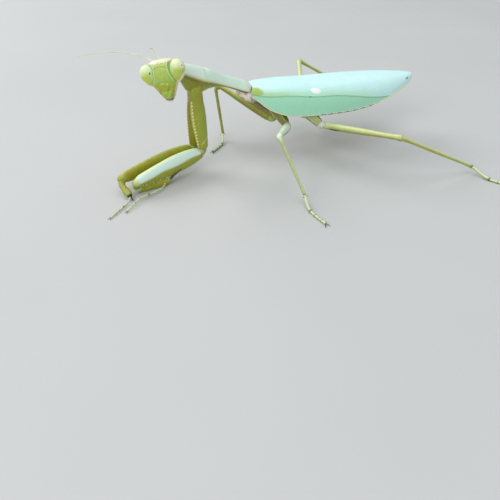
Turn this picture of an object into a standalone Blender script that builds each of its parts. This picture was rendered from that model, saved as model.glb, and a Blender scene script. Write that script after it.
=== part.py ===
"""A praying mantis (adult female Hierodula) at life size, standing on its four walking legs with its
forelegs laid on the floor and its head turned to its left.

The body frame is in millimetres: the head points to -X, the animal's left side to -Y and up is +Z.
The rear edge of the pronotum lies above X = 0 on the midline, and the floor is Z = 0. At the end the
whole animal is moved so that its origin is the middle of its bounding box on the floor.
"""

import math

import bmesh
import bpy
import numpy as np
from mathutils import Vector

MM = 0.001
GAP = 0.3                      # between neighbouring pieces

# Prothorax: a straight axis from its rear end, pitched up and yawed to the left
PRO_REAR = (0.0, 0.0, 16.8)
PRO_LENGTH = 20.9
PRO_PITCH = math.radians(25.3)
PRO_YAW = math.radians(19.2)

# Head: its centre, the way the face looks (yaw from -X towards -Y, and pitch) and the roll of the face
HEAD_CENTRE = (-21.1, -9.2, 25.2)
FACE_YAW = math.radians(65.0)
FACE_PITCH = math.radians(4.0)
FACE_ROLL = math.radians(12.0)
EYE_OFFSET = (2.74, 0.45, 0.0)        # across, up and forward of the head's centre
EYE_RADII = (1.6, 2.42, 1.5)
EYE_LEAN = math.radians(18.0)          # lower ends of the eyes lean towards the mouth
EYE_PEAR = 0.20                        # how much wider an eye is near its top, as a share
EYE_BOW = 0.50                         # how far its lower end curves in towards the mouth

# Folded wings
WING_START = 0.2
WING_END = 42.9
WING_LEAD = 1.2                        # how far the shoulders reach in front of the crown
LEAD_END = 6.0                         # and where along X that ends
WING_THICKNESS = 0.5
WING_SQUARENESS = 3.0                  # exponent of the arched cross-section

# Thorax and abdomen along X
THORAX_FRONT = -3.2
THORAX_REAR = 13.5
ABDOMEN_SPLIT = 26.0
ABDOMEN_REAR = 39.4

# Joints of the forelegs: inside the thorax, elbow, end of the femur, start of the tibia, its tip, end claw
FORE_LEGS = {
    "left": ((-14.6, -6.2, 21.6), (-12.8, -3.0, 4.7), (-29.45, -8.95, 3.35), (-29.65, -7.75, 1.1),
             (-22.6, -6.85, 1.0), (-19.1, -7.15, 3.6)),
    "right": ((-13.9, -3.5, 21.6), (-14.3, -0.8, 4.8), (-32.4, -6.3, 3.4), (-32.7, -7.4, 2.2),
              (-31.1, -11.2, 0.22)),
}

# Joints of the walking legs: inside the thorax, trochanter, knee, ankle, first joint of the foot, claws
WALKING_LEGS = {
    "mid_left": ((4.5, -1.6, 13.3), (7.8, -4.1, 7.9), (-0.7, -18.9, 13.4), (3.2, -24.5, 1.7),
                 (2.7, -28.3, 0.6), (3.6, -33.9, 0.45)),
    "mid_right": ((4.5, 1.4, 13.3), (7.6, 0.9, 6.6), (-5.6, 10.0, 15.4), (-3.9, 10.6, 1.7),
                  (-5.0, 7.9, 0.6), (-8.6, 4.4, 0.45)),
    "hind_left": ((11.0, -1.8, 12.8), (15.6, -5.9, 7.8), (24.9, -24.9, 11.3), (44.8, -26.5, 1.4),
                  (46.0, -31.3, 0.6), (49.6, -36.0, 0.45)),
    "hind_right": ((11.0, 1.2, 12.8), (15.2, 2.6, 6.8), (21.7, 21.1, 14.2), (42.0, 25.0, 1.6),
                   (46.0, 27.0, 0.6), (51.0, 29.0, 0.45)),
}

# Thin feet of the forelegs, from inside the far end of the tibia to the claws
FORE_FEET = {
    "left": ((-23.2, -7.4, 0.8), (-24.6, -9.2, 0.7), (-27.2, -10.6, 0.8), (-29.8, -11.7, 0.8),
             (-31.8, -13.6, 0.5), (-33.3, -15.0, 0.22)),
    "right": ((-31.5, -10.1, 0.8), (-32.3, -11.6, 0.5), (-33.6, -13.0, 0.35), (-35.2, -14.6, 0.3),
              (-36.9, -16.2, 0.22)),
}
FORE_FOOT_RADII = (0.27, 0.25)

# Feelers: points from inside the head to the tip
ANTENNAE = {
    "right": ((-22.0, -8.9, 26.7), (-22.6, -8.1, 27.8), (-24.0, -7.2, 28.6), (-26.6, -6.1, 29.3),
              (-29.6, -5.3, 29.7), (-32.9, -4.7, 29.7), (-36.2, -4.3, 29.4)),
    "left": ((-20.9, -9.2, 26.8), (-21.2, -8.7, 27.8), (-21.8, -7.5, 29.0), (-22.4, -6.8, 29.9),
             (-23.0, -7.8, 30.3), (-23.6, -9.9, 30.6), (-24.2, -12.5, 31.0)),
}
ANTENNA_RADII = (0.28, 0.25)

# Half-widths along each limb segment: fraction of its length, across the limb, in its bending plane
FORE_COXA = ((0.0, 1.08, 1.6), (0.1, 1.05, 1.5), (0.2, 1.02, 1.5), (0.38, 1.0, 1.75), (0.75, 0.98, 1.6),
             (1.0, 0.9, 1.25))
FORE_FEMUR = ((0.0, 0.9, 1.2), (0.12, 1.0, 1.75), (0.35, 1.05, 2.15), (0.7, 0.95, 1.75), (1.0, 0.85, 1.05))
FORE_TIBIAE = {
    "left": ((0.0, 0.78, 0.95), (0.15, 0.8, 1.15), (0.4, 0.76, 1.2), (0.62, 0.6, 0.9), (0.75, 0.36, 0.38),
             (1.0, 0.25, 0.25)),
    "right": ((0.0, 0.78, 0.85), (0.3, 0.62, 0.72), (0.72, 0.5, 0.6), (0.8, 0.3, 0.3), (1.0, 0.25, 0.25)),
}
MID_COXA = ((0.0, 1.5, 1.6), (0.5, 1.3, 1.5), (0.85, 1.05, 1.15), (1.0, 0.9, 0.95))
MID_FEMUR = ((0.0, 0.8, 0.85), (0.15, 0.85, 0.95), (0.5, 0.76, 0.82), (0.88, 0.56, 0.58), (1.0, 0.66, 0.7))
MID_TIBIA = ((0.0, 0.55, 0.55), (0.1, 0.42, 0.44), (0.5, 0.37, 0.39), (0.88, 0.33, 0.35), (1.0, 0.38, 0.40))
HIND_COXA = ((0.0, 1.6, 1.8), (0.5, 1.4, 1.6), (0.85, 1.05, 1.2), (1.0, 0.9, 1.0))
HIND_FEMUR = ((0.0, 0.78, 0.82), (0.15, 0.8, 0.88), (0.5, 0.72, 0.78), (0.88, 0.58, 0.6), (1.0, 0.7, 0.74))
HIND_TIBIA = ((0.0, 0.62, 0.62), (0.08, 0.48, 0.5), (0.5, 0.42, 0.44), (0.9, 0.36, 0.38), (1.0, 0.42, 0.44))
FOOT = ((0.0, 0.42, 0.45), (0.45, 0.4, 0.42), (0.8, 0.4, 0.45), (1.0, 0.45, 0.45))
LIMB_SIDES = 8
FORE_SIDES = 10
FORE_BEND = 1.5                # radius of a foreleg's centre line at a joint
WALKING_BEND = 1.1             # and of a walking leg's
BEND_SHARE = 0.45              # of the shorter neighbouring run that a bend may take up
LIP = 0.12                     # length over which the end of a limb segment narrows
LIP_TAPER = 0.88               # and by what share

# Colour, roughness and metallic value of each kind of surface
COLOURS = {
    "cuticle": ((0.42, 0.50, 0.13), 0.42),
    "pronotum": ((0.62, 0.80, 0.66), 0.4),
    "membrane": ((0.62, 0.48, 0.40), 0.55),
    "abdomen": ((0.40, 0.46, 0.18), 0.5),
    "eye": ((0.58, 0.72, 0.32), 0.2),
    "wing": ((0.55, 0.84, 0.72), 0.45),
    "leg": ((0.48, 0.62, 0.30), 0.42),
    "mouth": ((0.55, 0.42, 0.14), 0.4),
}


def material(kind):
    """The Principled material of one kind of surface, made once."""
    found = bpy.data.materials.get(kind)
    if found:
        return found
    colour, roughness = COLOURS[kind]
    made = bpy.data.materials.new(kind)
    made.use_nodes = True
    shader = made.node_tree.nodes["Principled BSDF"]
    shader.inputs["Base Color"].default_value = (*colour, 1.0)
    shader.inputs["Roughness"].default_value = roughness
    shader.inputs["Metallic"].default_value = 0.0
    return made


def unit(vector):
    return np.asarray(vector, float) / np.linalg.norm(vector)


def smooth_table(knots, at):
    """Rows of (position, values...) joined by a smooth curve, read at the given positions."""
    knots = np.asarray(knots, float)
    where, values = knots[:, 0], knots[:, 1:]
    slopes = np.gradient(values, where, axis=0)
    at = np.clip(np.atleast_1d(np.asarray(at, float)), where[0], where[-1])
    i = np.clip(np.searchsorted(where, at, side="right") - 1, 0, len(where) - 2)
    span = (where[i + 1] - where[i])[:, None]
    t = (at - where[i])[:, None] / span
    rise = 2 * t**3 - 3 * t**2 + 1
    return (rise * values[i] + (t**3 - 2 * t**2 + t) * span * slopes[i]
            + (1 - rise) * values[i + 1] + (t**3 - t**2) * span * slopes[i + 1])


def new_object(name, points, faces, kind, helper=False):
    """A mesh object from points in millimetres."""
    mesh = bpy.data.meshes.new(name)
    mesh.from_pydata([Vector(p) * MM for p in points], [], faces)
    shape = bmesh.new()
    shape.from_mesh(mesh)
    bmesh.ops.recalc_face_normals(shape, faces=shape.faces)
    if shape.calc_volume(signed=True) < 0:
        bmesh.ops.reverse_faces(shape, faces=shape.faces)
    shape.to_mesh(mesh)
    shape.free()
    mesh.shade_smooth()
    mesh.set_sharp_from_angle(angle=math.radians(40))
    mesh.materials.append(material(kind))
    made = bpy.data.objects.new(name, mesh)
    bpy.context.scene.collection.objects.link(made)
    if helper:
        made.hide_render = True
        made.display_type = "WIRE"
    return made


def rings_object(name, rings, kind, floor=False, helper=False):
    """A closed body through rings of equal length, with a fan closing each end."""
    rings = [np.asarray(ring, float) for ring in rings]
    sides = len(rings[0])
    points = [p for ring in rings for p in ring] + [rings[0].mean(0), rings[-1].mean(0)]
    if floor:
        points = [np.array((p[0], p[1], max(p[2], 0.0))) for p in points]
    first, last = len(points) - 2, len(points) - 1
    faces = []
    for k in range(len(rings) - 1):
        for j in range(sides):
            a, b = k * sides + j, k * sides + (j + 1) % sides
            faces.append((a, b, b + sides, a + sides))
    base = (len(rings) - 1) * sides
    for j in range(sides):
        faces.append((first, (j + 1) % sides, j))
        faces.append((last, base + j, base + (j + 1) % sides))
    return new_object(name, points, faces, kind, helper)


def cut(target, cutter):
    """Takes the cutter's space out of the target."""
    step = target.modifiers.new("meet_" + cutter.name, "BOOLEAN")
    step.operation = "DIFFERENCE"
    step.object = cutter


# ---------------------------------------------------------------- limbs

def rounded_path(points, radius, arc_steps=8):
    """Straight runs joined by arcs, with the distance of each inner joint along the path."""
    points = [np.asarray(p, float) for p in points]
    path, joints = [points[0]], []
    for i in range(1, len(points) - 1):
        before, after = unit(points[i] - points[i - 1]), unit(points[i + 1] - points[i])
        turn = math.acos(max(-1.0, min(1.0, float(before @ after))))
        runs = np.linalg.norm(points[i] - points[i - 1]), np.linalg.norm(points[i + 1] - points[i])
        room = BEND_SHARE * min(runs)
        if turn < 1e-3:
            path.append(points[i])
            joints.append(len(path) - 1)
            continue
        bend = min(radius, room / math.tan(turn / 2))
        start = points[i] - before * bend * math.tan(turn / 2)
        inward = (after - before * math.cos(turn)) / math.sin(turn)
        for k in range(arc_steps + 1):
            angle = turn * k / arc_steps
            path.append(start + before * bend * math.sin(angle) + inward * bend * (1 - math.cos(angle)))
            if k == arc_steps // 2:
                joints.append(len(path) - 1)
    path.append(points[-1])
    path = np.array(path)
    along = np.concatenate([[0.0], np.cumsum(np.linalg.norm(np.diff(path, axis=0), axis=1))])
    return path, along, [along[j] for j in joints]


def read_path(path, along, at):
    """Points of the path and its directions at distances along it."""
    at = np.atleast_1d(at)
    reach = 0.25
    place = np.stack([np.interp(at, along, path[:, k]) for k in range(3)], 1)
    ahead = np.stack([np.interp(np.minimum(at + reach, along[-1]), along, path[:, k]) for k in range(3)], 1)
    behind = np.stack([np.interp(np.maximum(at - reach, 0.0), along, path[:, k]) for k in range(3)], 1)
    direction = ahead - behind
    return place, direction / np.linalg.norm(direction, axis=1)[:, None]


def segment_rings(path, along, start, end, widths, across, stations, sides):
    """Oval rings along one stretch of a limb's path, with narrowed ends."""
    at = np.linspace(start, end, stations)
    at = np.concatenate([[start], np.clip(at, start + LIP, end - LIP), [end]])
    place, direction = read_path(path, along, at)
    size = smooth_table(widths, (at - start) / (end - start))
    size[0] *= LIP_TAPER
    size[-1] *= LIP_TAPER
    rings = []
    for p, d, (wide, deep) in zip(place, direction, size):
        depth_way = unit(np.cross(d, across))
        side_way = unit(np.cross(depth_way, d))
        angles = np.arange(sides) * 2 * math.pi / sides
        rings.append(p + np.outer(np.cos(angles) * wide, side_way) + np.outer(np.sin(angles) * deep, depth_way))
    return rings


def walking_leg(name, rooms):
    """Coxa, femur, tibia and foot along one path, with a thin cut at each joint."""
    joints = WALKING_LEGS[name]
    hind = name.startswith("hind")
    shapes = (HIND_COXA, HIND_FEMUR, HIND_TIBIA) if hind else (MID_COXA, MID_FEMUR, MID_TIBIA)
    path, along, at = rounded_path(joints, WALKING_BEND)
    across = unit(np.cross(np.subtract(joints[2], joints[1]), np.subtract(joints[3], joints[2])))
    ends = [0.0, at[0], at[1], at[2], along[-1]]
    pieces = (("coxa", shapes[0], 6), ("femur", shapes[1], 9), ("tibia", shapes[2], 8), ("tarsus", FOOT, 9))
    for k, (piece, widths, stations) in enumerate(pieces):
        start = ends[k] + (GAP / 2 if k else 0.0)
        end = ends[k + 1] - (GAP / 2 if k < 3 else 0.0)
        rings = segment_rings(path, along, start, end, widths, across, stations, LIMB_SIDES)
        made = rings_object(f"{piece}_{name}", rings, "leg", floor=piece == "tarsus")
        if piece == "coxa":
            for room in rooms:
                cut(made, room)


def grown(widths):
    """The half-widths of the space a limb segment keeps free of its neighbours."""
    return tuple((share, wide + GAP, deep + GAP) for share, wide, deep in widths)


def fore_leg(side, body):
    """Coxa, femur and tibia with its end claw along one path, and the thin foot that leaves the tibia."""
    joints = FORE_LEGS[side]
    elbow, knee, turn = 1, 2, 3
    path, along, at = rounded_path(joints, FORE_BEND)
    across = unit(np.cross((0, 0, 1), np.subtract(joints[knee], joints[elbow])))
    knee_at = (at[knee - 1] + at[turn - 1]) / 2
    ends = [0.0, at[elbow - 1], knee_at, along[-1]]
    pieces = (("coxa", FORE_COXA, 8), ("femur", FORE_FEMUR, 12), ("tibia", FORE_TIBIAE[side], 12))
    made, rooms = {}, {}
    for k, (piece, widths, stations) in enumerate(pieces):
        start = ends[k] + (GAP / 2 if k else 0.0)
        end = ends[k + 1] - (GAP / 2 if k < 2 else 0.0)
        rings = segment_rings(path, along, start, end, widths, across, stations, FORE_SIDES)
        made[piece] = rings_object(f"{piece}_fore_{side}", rings, "leg", floor=piece == "tibia")
        rings = segment_rings(path, along, start, end, grown(widths), across, stations, FORE_SIDES)
        rooms[piece] = rings_object(f"{piece}_room_{side}", rings, "leg", helper=True)
    cut(made["coxa"], body)
    cut(made["tibia"], rooms["femur"])
    foot = thread(f"tarsus_fore_{side}", FORE_FEET[side], FORE_FOOT_RADII, 9, "leg", floor=True)
    cut(foot, rooms["tibia"])


# ---------------------------------------------------------------- trunk

def prothorax_frame():
    """Forward, left and up directions of the prothorax."""
    forward = np.array((-math.cos(PRO_PITCH) * math.cos(PRO_YAW),
                        -math.cos(PRO_PITCH) * math.sin(PRO_YAW), math.sin(PRO_PITCH)))
    left = unit(np.cross((0, 0, 1), forward))
    return forward, left, np.cross(forward, left)


# Along the prothorax: distance from the rear, half-width, crown above the axis, belly below it
PRONOTUM = ((0.8, 1.5, 1.1, 1.35), (2.0, 1.85, 1.3, 1.45), (4.5, 1.75, 1.3, 1.3), (9.0, 1.6, 1.25, 1.4),
            (12.0, 1.9, 1.4, 2.5), (14.2, 2.3, 1.5, 3.9), (16.8, 2.05, 1.4, 4.1), (19.5, 1.6, 1.1, 2.3),
            (20.9, 1.1, 0.75, 1.5))
EDGE_BELOW_AXIS = 0.8
MIDDLE_BELOW_AXIS = 0.3         # the point the section grows away from
CHEST_TAPER = 0.3               # how much narrower the chest is than the shield, as a share
CHEST_TAPER_RATE = 2.2          # how soon below the edge it reaches that


def prothorax(name, grow=0.0, helper=False):
    """The pronotum's arched shield with the narrower chest below its side edges."""
    forward, left, up = prothorax_frame()
    sides = 16
    rings = []
    at = np.array((0.8, 1.2, 2.0, 3.0, 4.5, 7.0, 9.0, 10.5, 12.0, 13.2, 14.2, 15.2, 16.8, 18.2, 19.5, 20.4, 20.9))
    for t, (wide, crown, belly) in zip(at, smooth_table(PRONOTUM, at)):
        ring = []
        for k in range(sides):
            angle = 2 * math.pi * k / sides
            c, s = math.cos(angle), math.sin(angle)
            if s >= 0:
                y, z = wide * c, -EDGE_BELOW_AXIS + (crown + EDGE_BELOW_AXIS) * s
            else:
                taper = 1 - CHEST_TAPER * min(1.0, -CHEST_TAPER_RATE * s)
                y, z = wide * c * taper, -EDGE_BELOW_AXIS + (belly - EDGE_BELOW_AXIS) * s
            away = np.array((y, z + MIDDLE_BELOW_AXIS))
            y, z = away * (1 + grow / np.linalg.norm(away))
            ring.append(np.array(PRO_REAR) + forward * t + left * y + up * (z - MIDDLE_BELOW_AXIS))
        rings.append(ring)
    rings[0] = [p - forward * grow for p in rings[0]]
    rings[-1] = [p + forward * grow for p in rings[-1]]
    return rings_object(name, rings, "pronotum", helper=helper)


def oval_rings(table, at, sides, grow=0.0):
    """Rings across X from rows of (x, centre z, half-width, half-height)."""
    rings = []
    for x, (z, wide, high) in zip(at, smooth_table(table, at)):
        angles = np.arange(sides) * 2 * math.pi / sides
        rings.append(np.stack([np.full(sides, x), (wide + grow) * np.cos(angles),
                               z + (high + grow) * np.sin(angles)], 1))
    rings[0][:, 0] -= grow
    rings[-1][:, 0] += grow
    return rings


THORAX = ((THORAX_FRONT, 16.3, 1.0, 0.7), (-1.8, 15.8, 2.1, 1.4), (0.5, 15.1, 3.0, 1.8),
          (3.0, 13.9, 3.4, 2.5), (6.5, 12.8, 3.6, 2.9), (10.0, 12.4, 3.7, 3.0), (THORAX_REAR, 12.0, 3.9, 2.9))
ABDOMEN = ((THORAX_REAR, 11.8, 3.9, 2.8), (18.0, 11.3, 4.8, 3.0), (24.0, 11.1, 5.1, 2.9),
           (30.0, 11.4, 4.5, 2.3), (35.0, 11.8, 3.2, 1.6), (38.0, 12.1, 2.0, 1.1), (ABDOMEN_REAR, 12.3, 1.2, 0.7))


def thorax(name, grow=0.0, helper=False):
    at = np.array((THORAX_FRONT, -2.5, -1.8, -0.6, 0.5, 1.8, 3.0, 4.8, 6.5, 8.2, 10.0, 11.8, THORAX_REAR))
    return rings_object(name, oval_rings(THORAX, at, 16, grow), "membrane", helper=helper)


CERCUS_LINE = ((39.75, 0.7, 12.2), (40.35, 0.98, 12.25), (40.9, 1.2, 12.3))
CERCUS_WIDTHS = ((0.0, 0.3, 0.3), (0.5, 0.4, 0.35), (1.0, 0.25, 0.25))


def abdomen():
    """Two lengths of the abdomen, and the pair of cerci at its end."""
    front = np.linspace(THORAX_REAR + GAP, ABDOMEN_SPLIT - GAP / 2, 7)
    rear = np.concatenate([np.linspace(ABDOMEN_SPLIT + GAP / 2, 37.0, 7), (38.4, ABDOMEN_REAR)])
    rings_object("abdomen_front", oval_rings(ABDOMEN, front, 16), "abdomen")
    room = rings_object("abdomen_room", oval_rings(ABDOMEN, front, 16, GAP), "abdomen", helper=True)
    rings_object("abdomen_rear", oval_rings(ABDOMEN, rear, 16), "abdomen")
    for side, sign in (("left", -1), ("right", 1)):
        path = np.array(CERCUS_LINE) * (1, sign, 1)
        along = np.concatenate([[0.0], np.cumsum(np.linalg.norm(np.diff(path, axis=0), axis=1))])
        rings = segment_rings(path, along, 0.0, along[-1], CERCUS_WIDTHS, (0, 0, 1), 5, LIMB_SIDES)
        rings_object(f"cercus_{side}", rings, "leg")
    return room


# ---------------------------------------------------------------- wings

# Along X: half-width at the costal rim, height of that rim, height of the crown
WING_PLAN = ((WING_START, 3.8, 16.2, 17.9), (1.2, 4.15, 15.1, 17.95), (2.6, 4.75, 13.6, 17.95),
             (6.0, 5.5, 11.6, 17.9), (10.0, 5.9, 10.8, 17.6), (15.0, 6.2, 10.4, 17.2), (20.0, 6.3, 10.2, 16.95),
             (26.0, 6.1, 10.3, 16.65), (30.0, 5.7, 10.8, 16.4), (35.0, 4.8, 11.8, 16.0), (39.0, 3.4, 12.8, 15.6),
             (41.5, 2.1, 13.5, 15.35), (WING_END, 1.0, 13.9, 15.1))
SHOULDER_FROM, SHOULDER_TO = 2.0, 3.4    # distances from the midline between which the lead grows
# Along X: how far the upper (left) wing passes the midline
WING_OVERLAP = ((WING_START, 1.7), (6.0, 2.6), (12.0, 3.3), (30.0, 3.0), (38.0, 1.8), (WING_END, 0.2))


# The right wing steps down under the left one: from how far beyond its edge, and over what length
STEP_FROM, STEP_LENGTH = 0.35, 0.9
HIND_WING_START, HIND_WING_END = 7.5, 40.0
HIND_WING_HALF_WIDTH = 2.3
HIND_WING_SHARE = 0.45          # of the room below the wings


def wing_surface(x, y, inset):
    """Height of the arched wing surface at a place, a distance inside the outer one."""
    wide, rim, crown = smooth_table(WING_PLAN, x)[0]
    share = min(abs(y) / max(wide - inset, 0.05), 1.0)
    return rim + (crown - rim - inset) * (1 - share**WING_SQUARENESS) ** (1 / WING_SQUARENESS)


def arch(x, angle, inset):
    """A point of the wing's cross-section: angle 90 degrees at the rim, 0 at the crown."""
    wide, rim, crown = smooth_table(WING_PLAN, x)[0]
    power = 2 / WING_SQUARENESS
    high = crown - rim
    y = wide * math.exp(-inset / wide) * math.copysign(abs(math.sin(angle)) ** power, math.sin(angle))
    z = rim + high * math.exp(-inset / high) * abs(math.cos(angle)) ** power
    return y, z


def shoulder(point):
    """A wing point moved forward by how far the shoulders reach past the crown."""
    x, y, z = point
    share = max(LEAD_END - x, 0.0) / (LEAD_END - WING_START)
    outward = min(max((abs(y) - SHOULDER_FROM) / (SHOULDER_TO - SHOULDER_FROM), 0.0), 1.0)
    smooth = outward**2 * (3 - 2 * outward)
    return x - WING_LEAD * share**1.5 * smooth, y, z


def wings():
    """The left wing lies over the right one, and the pleated hind wings are a thin bundle below both."""
    stations = np.concatenate([(WING_START, 1.2, 2.6), np.linspace(6.0, 38.0, 10), (40.0, 41.5, 42.3, WING_END)])
    across = 12

    def overlap_angle(x, past):
        wide = smooth_table(WING_PLAN, x)[0][0]
        return math.asin(min(past / wide, 0.98) ** (WING_SQUARENESS / 2))

    def left_rings():
        for x in stations:
            inside = overlap_angle(x, smooth_table(WING_OVERLAP, x)[0][0])
            angles = np.linspace(math.pi / 2, -inside, across)
            outer = [arch(x, a, 0.0) for a in angles]
            inner = [arch(x, a, WING_THICKNESS) for a in angles]
            yield [shoulder((x, -y, z)) for y, z in outer + inner[::-1]]

    def right_rings():
        for x in stations:
            past = smooth_table(WING_OVERLAP, x)[0][0]
            inside = overlap_angle(x, 0.7 * past)
            angles = np.linspace(math.pi / 2, -inside, across)
            outer, inner = [], []
            for a in angles:
                y = arch(x, a, 0.0)[0]
                under = 1 - min(max((y - past - STEP_FROM) / STEP_LENGTH, 0.0), 1.0)
                drop = (WING_THICKNESS + GAP) * under
                outer.append(arch(x, a, drop))
                inner.append(arch(x, a, drop + WING_THICKNESS))
            yield [shoulder((x, y, z)) for y, z in outer + inner[::-1]]

    rings_object("tegmen_left", list(left_rings()), "wing")
    rings_object("tegmen_right", list(right_rings()), "wing")
    drop = 2 * (WING_THICKNESS + GAP)
    rings = []
    for x in np.linspace(HIND_WING_START, HIND_WING_END, 9):
        wide = smooth_table(WING_PLAN, x)[0][0]
        half = min(HIND_WING_HALF_WIDTH, HIND_WING_SHARE * (wide - drop))
        ring = [(x, y, wing_surface(x, y, drop)) for y in np.linspace(-half, half, 5)]
        ring += [(x, y, wing_surface(x, y, drop) - WING_THICKNESS) for y in np.linspace(half, -half, 5)]
        rings.append(ring)
    rings_object("hindwings", rings, "wing")


# ---------------------------------------------------------------- head

def head_frame():
    """Rightwards in the face's view, up and forward directions of the head."""
    forward = np.array((-math.cos(FACE_PITCH) * math.cos(FACE_YAW),
                        -math.cos(FACE_PITCH) * math.sin(FACE_YAW), math.sin(FACE_PITCH)))
    level = unit(np.cross((0, 0, 1), forward))
    upright = np.cross(forward, level)
    across = level * math.cos(FACE_ROLL) + upright * math.sin(FACE_ROLL)
    return across, np.cross(forward, across), forward


# Up the head: height, half-width, depth in front of and behind the centre
CAPSULE = ((-4.4, 0.7, 0.85, 0.75), (-4.0, 1.05, 1.1, 0.9), (-3.0, 1.6, 1.4, 1.15), (-2.0, 2.2, 1.55, 1.4),
           (-1.0, 2.85, 1.6, 1.6), (-0.4, 3.3, 1.6, 1.7), (0.2, 3.45, 1.57, 1.75), (1.6, 3.3, 1.42, 1.7),
           (2.6, 2.75, 1.05, 1.45), (3.05, 2.1, 0.65, 1.1), (3.25, 1.3, 0.3, 0.8))
MOUTH = ((-5.0, 0.35, 0.4, 0.4), (-4.85, 0.5, 0.6, 0.55), (-4.7, 0.62, 0.75, 0.7))
SQUARENESS = 2.6                # exponent of the head's section


def face_rings(table, at, sides, grow=0.0):
    across, up, forward = head_frame()
    rings = []
    for u, (wide, front, back) in zip(at, smooth_table(table, at)):
        ring = []
        for k in range(sides):
            c, s = math.cos(2 * math.pi * k / sides), math.sin(2 * math.pi * k / sides)
            deep = front if s > 0 else back
            squared = (abs(c) ** SQUARENESS + abs(s) ** SQUARENESS) ** (-1 / SQUARENESS)
            ring.append(np.array(HEAD_CENTRE) + across * c * squared * (wide + grow)
                        + forward * s * squared * (deep + grow) + up * u)
        rings.append(ring)
    rings[0] = [p + up * grow for p in rings[0]]
    rings[-1] = [p - up * grow for p in rings[-1]]
    return rings


def capsule(name, grow=0.0, helper=False):
    at = np.array((3.25, 3.15, 2.9, 2.4, 1.6, 0.7, -0.2, -1.1, -2.0, -2.8, -3.5, -4.1, -4.4))
    return rings_object(name, face_rings(CAPSULE, at, 18, grow), "cuticle", helper=helper)


def eye(name, sign, grow=0.0, helper=False):
    """An upright oval eye that bulges from the side of the head."""
    across, up, forward = head_frame()
    centre = (np.array(HEAD_CENTRE) + across * sign * EYE_OFFSET[0] + up * EYE_OFFSET[1] + forward * EYE_OFFSET[2])
    long_way = up * math.cos(EYE_LEAN) + across * sign * math.sin(EYE_LEAN)
    wide_way = across * math.cos(EYE_LEAN) - up * sign * math.sin(EYE_LEAN)
    wide, tall, deep = (r + grow for r in EYE_RADII)
    rings, sides, levels = [], 14, 9
    for k in range(levels):
        lift = math.pi * (k + 0.35) / (levels - 0.3) - math.pi / 2
        height = math.sin(lift)
        pear = (1 + EYE_PEAR * height) * math.cos(lift)
        middle = centre + long_way * tall * height - wide_way * sign * EYE_BOW * max(-height, 0.0) ** 2
        ring = []
        for j in range(sides):
            turn = 2 * math.pi * j / sides
            ring.append(middle + (wide_way * wide * math.cos(turn) + forward * deep * math.sin(turn)) * pear)
        rings.append(ring)
    return rings_object(name, rings, "eye", helper=helper)


def neck(head_cut, chest_cut):
    """The soft neck between the back of the head and the front of the prothorax."""
    across, up, forward = head_frame()
    ahead = prothorax_frame()[0]
    path, along, _ = rounded_path((
        np.array(PRO_REAR) + ahead * (PRO_LENGTH - 1.0) - np.array((0, 0, 0.3)),
        np.array(PRO_REAR) + ahead * (PRO_LENGTH + 1.0),
        np.array(HEAD_CENTRE) + up * 0.3,
    ), 2.0)
    widths = ((0.0, 1.0, 1.0), (0.5, 0.95, 0.95), (1.0, 1.0, 1.0))
    made = rings_object("neck", segment_rings(path, along, 0.0, along[-1], widths, (0, 0, 1), 7, 12), "membrane")
    cut(made, head_cut)
    cut(made, chest_cut)


def thread(name, knots, radii, stations, kind, floor=False):
    """A tapering thin round limb on a smooth curve through its knots."""
    points = np.array(knots)
    where = np.arange(len(points), dtype=float)
    fine = smooth_table(np.column_stack([where, points]), np.linspace(0, len(points) - 1, 61))
    along = np.concatenate([[0.0], np.cumsum(np.linalg.norm(np.diff(fine, axis=0), axis=1))])
    widths = ((0.0, radii[0], radii[0]), (1.0, radii[1], radii[1]))
    across = (0.31, 0.17, 0.93)
    rings = segment_rings(fine, along, 0.0, along[-1], widths, across, stations, 6)
    return rings_object(name, rings, kind, floor)


def head():
    big_capsule = capsule("head_room", GAP, helper=True)
    made = capsule("head")
    for side, sign in (("left", 1), ("right", -1)):
        eye(f"eye_{side}", sign)
        cut(made, eye(f"eye_room_{side}", sign, GAP, helper=True))
        cut(thread(f"antenna_{side}", ANTENNAE[side], ANTENNA_RADII, 16, "cuticle"), big_capsule)
    rings_object("mouthparts", face_rings(MOUTH, np.array((-4.7, -4.8, -4.85, -4.95, -5.0)), 12), "mouth")
    return big_capsule


# ---------------------------------------------------------------- assembly

def set_origin():
    """Moves every object so that the origin is the middle of the whole on the floor."""
    bpy.context.view_layer.update()
    graph = bpy.context.evaluated_depsgraph_get()
    solids = [o for o in bpy.context.scene.objects if not o.hide_render]
    corners = []
    for solid in solids:
        shape = solid.evaluated_get(graph).to_mesh()
        corners += [solid.matrix_world @ v.co for v in shape.vertices]
    low = [min(c[k] for c in corners) for k in range(3)]
    high = [max(c[k] for c in corners) for k in range(3)]
    shift = Vector((-(low[0] + high[0]) / 2, -(low[1] + high[1]) / 2, -low[2]))
    for thing in bpy.context.scene.objects:
        thing.location += shift


def main():
    for old in list(bpy.data.objects):
        bpy.data.objects.remove(old)
    chest_room = prothorax("chest_room", GAP, helper=True)
    thorax_room = thorax("thorax_room", GAP, helper=True)
    prothorax("prothorax")
    cut(thorax("thorax"), chest_room)
    abdomen_room = abdomen()
    wings()
    head_room = head()
    neck(head_room, chest_room)
    for side in FORE_LEGS:
        fore_leg(side, chest_room)
    for name in WALKING_LEGS:
        walking_leg(name, (thorax_room, abdomen_room))
    set_origin()


main()
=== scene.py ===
"""The looks of a life-size praying mantis (adult female Hierodula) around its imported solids.

Shapes are worked out in millimetres in the body frame: the head points to -X, the animal's left side is
-Y, the floor is Z = 0 and the pronotum's rear edge lies above X = 0. SHIFT moves them into the row frame.
"""

import math

import bpy
import numpy as np
from mathutils import Matrix, Vector


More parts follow.
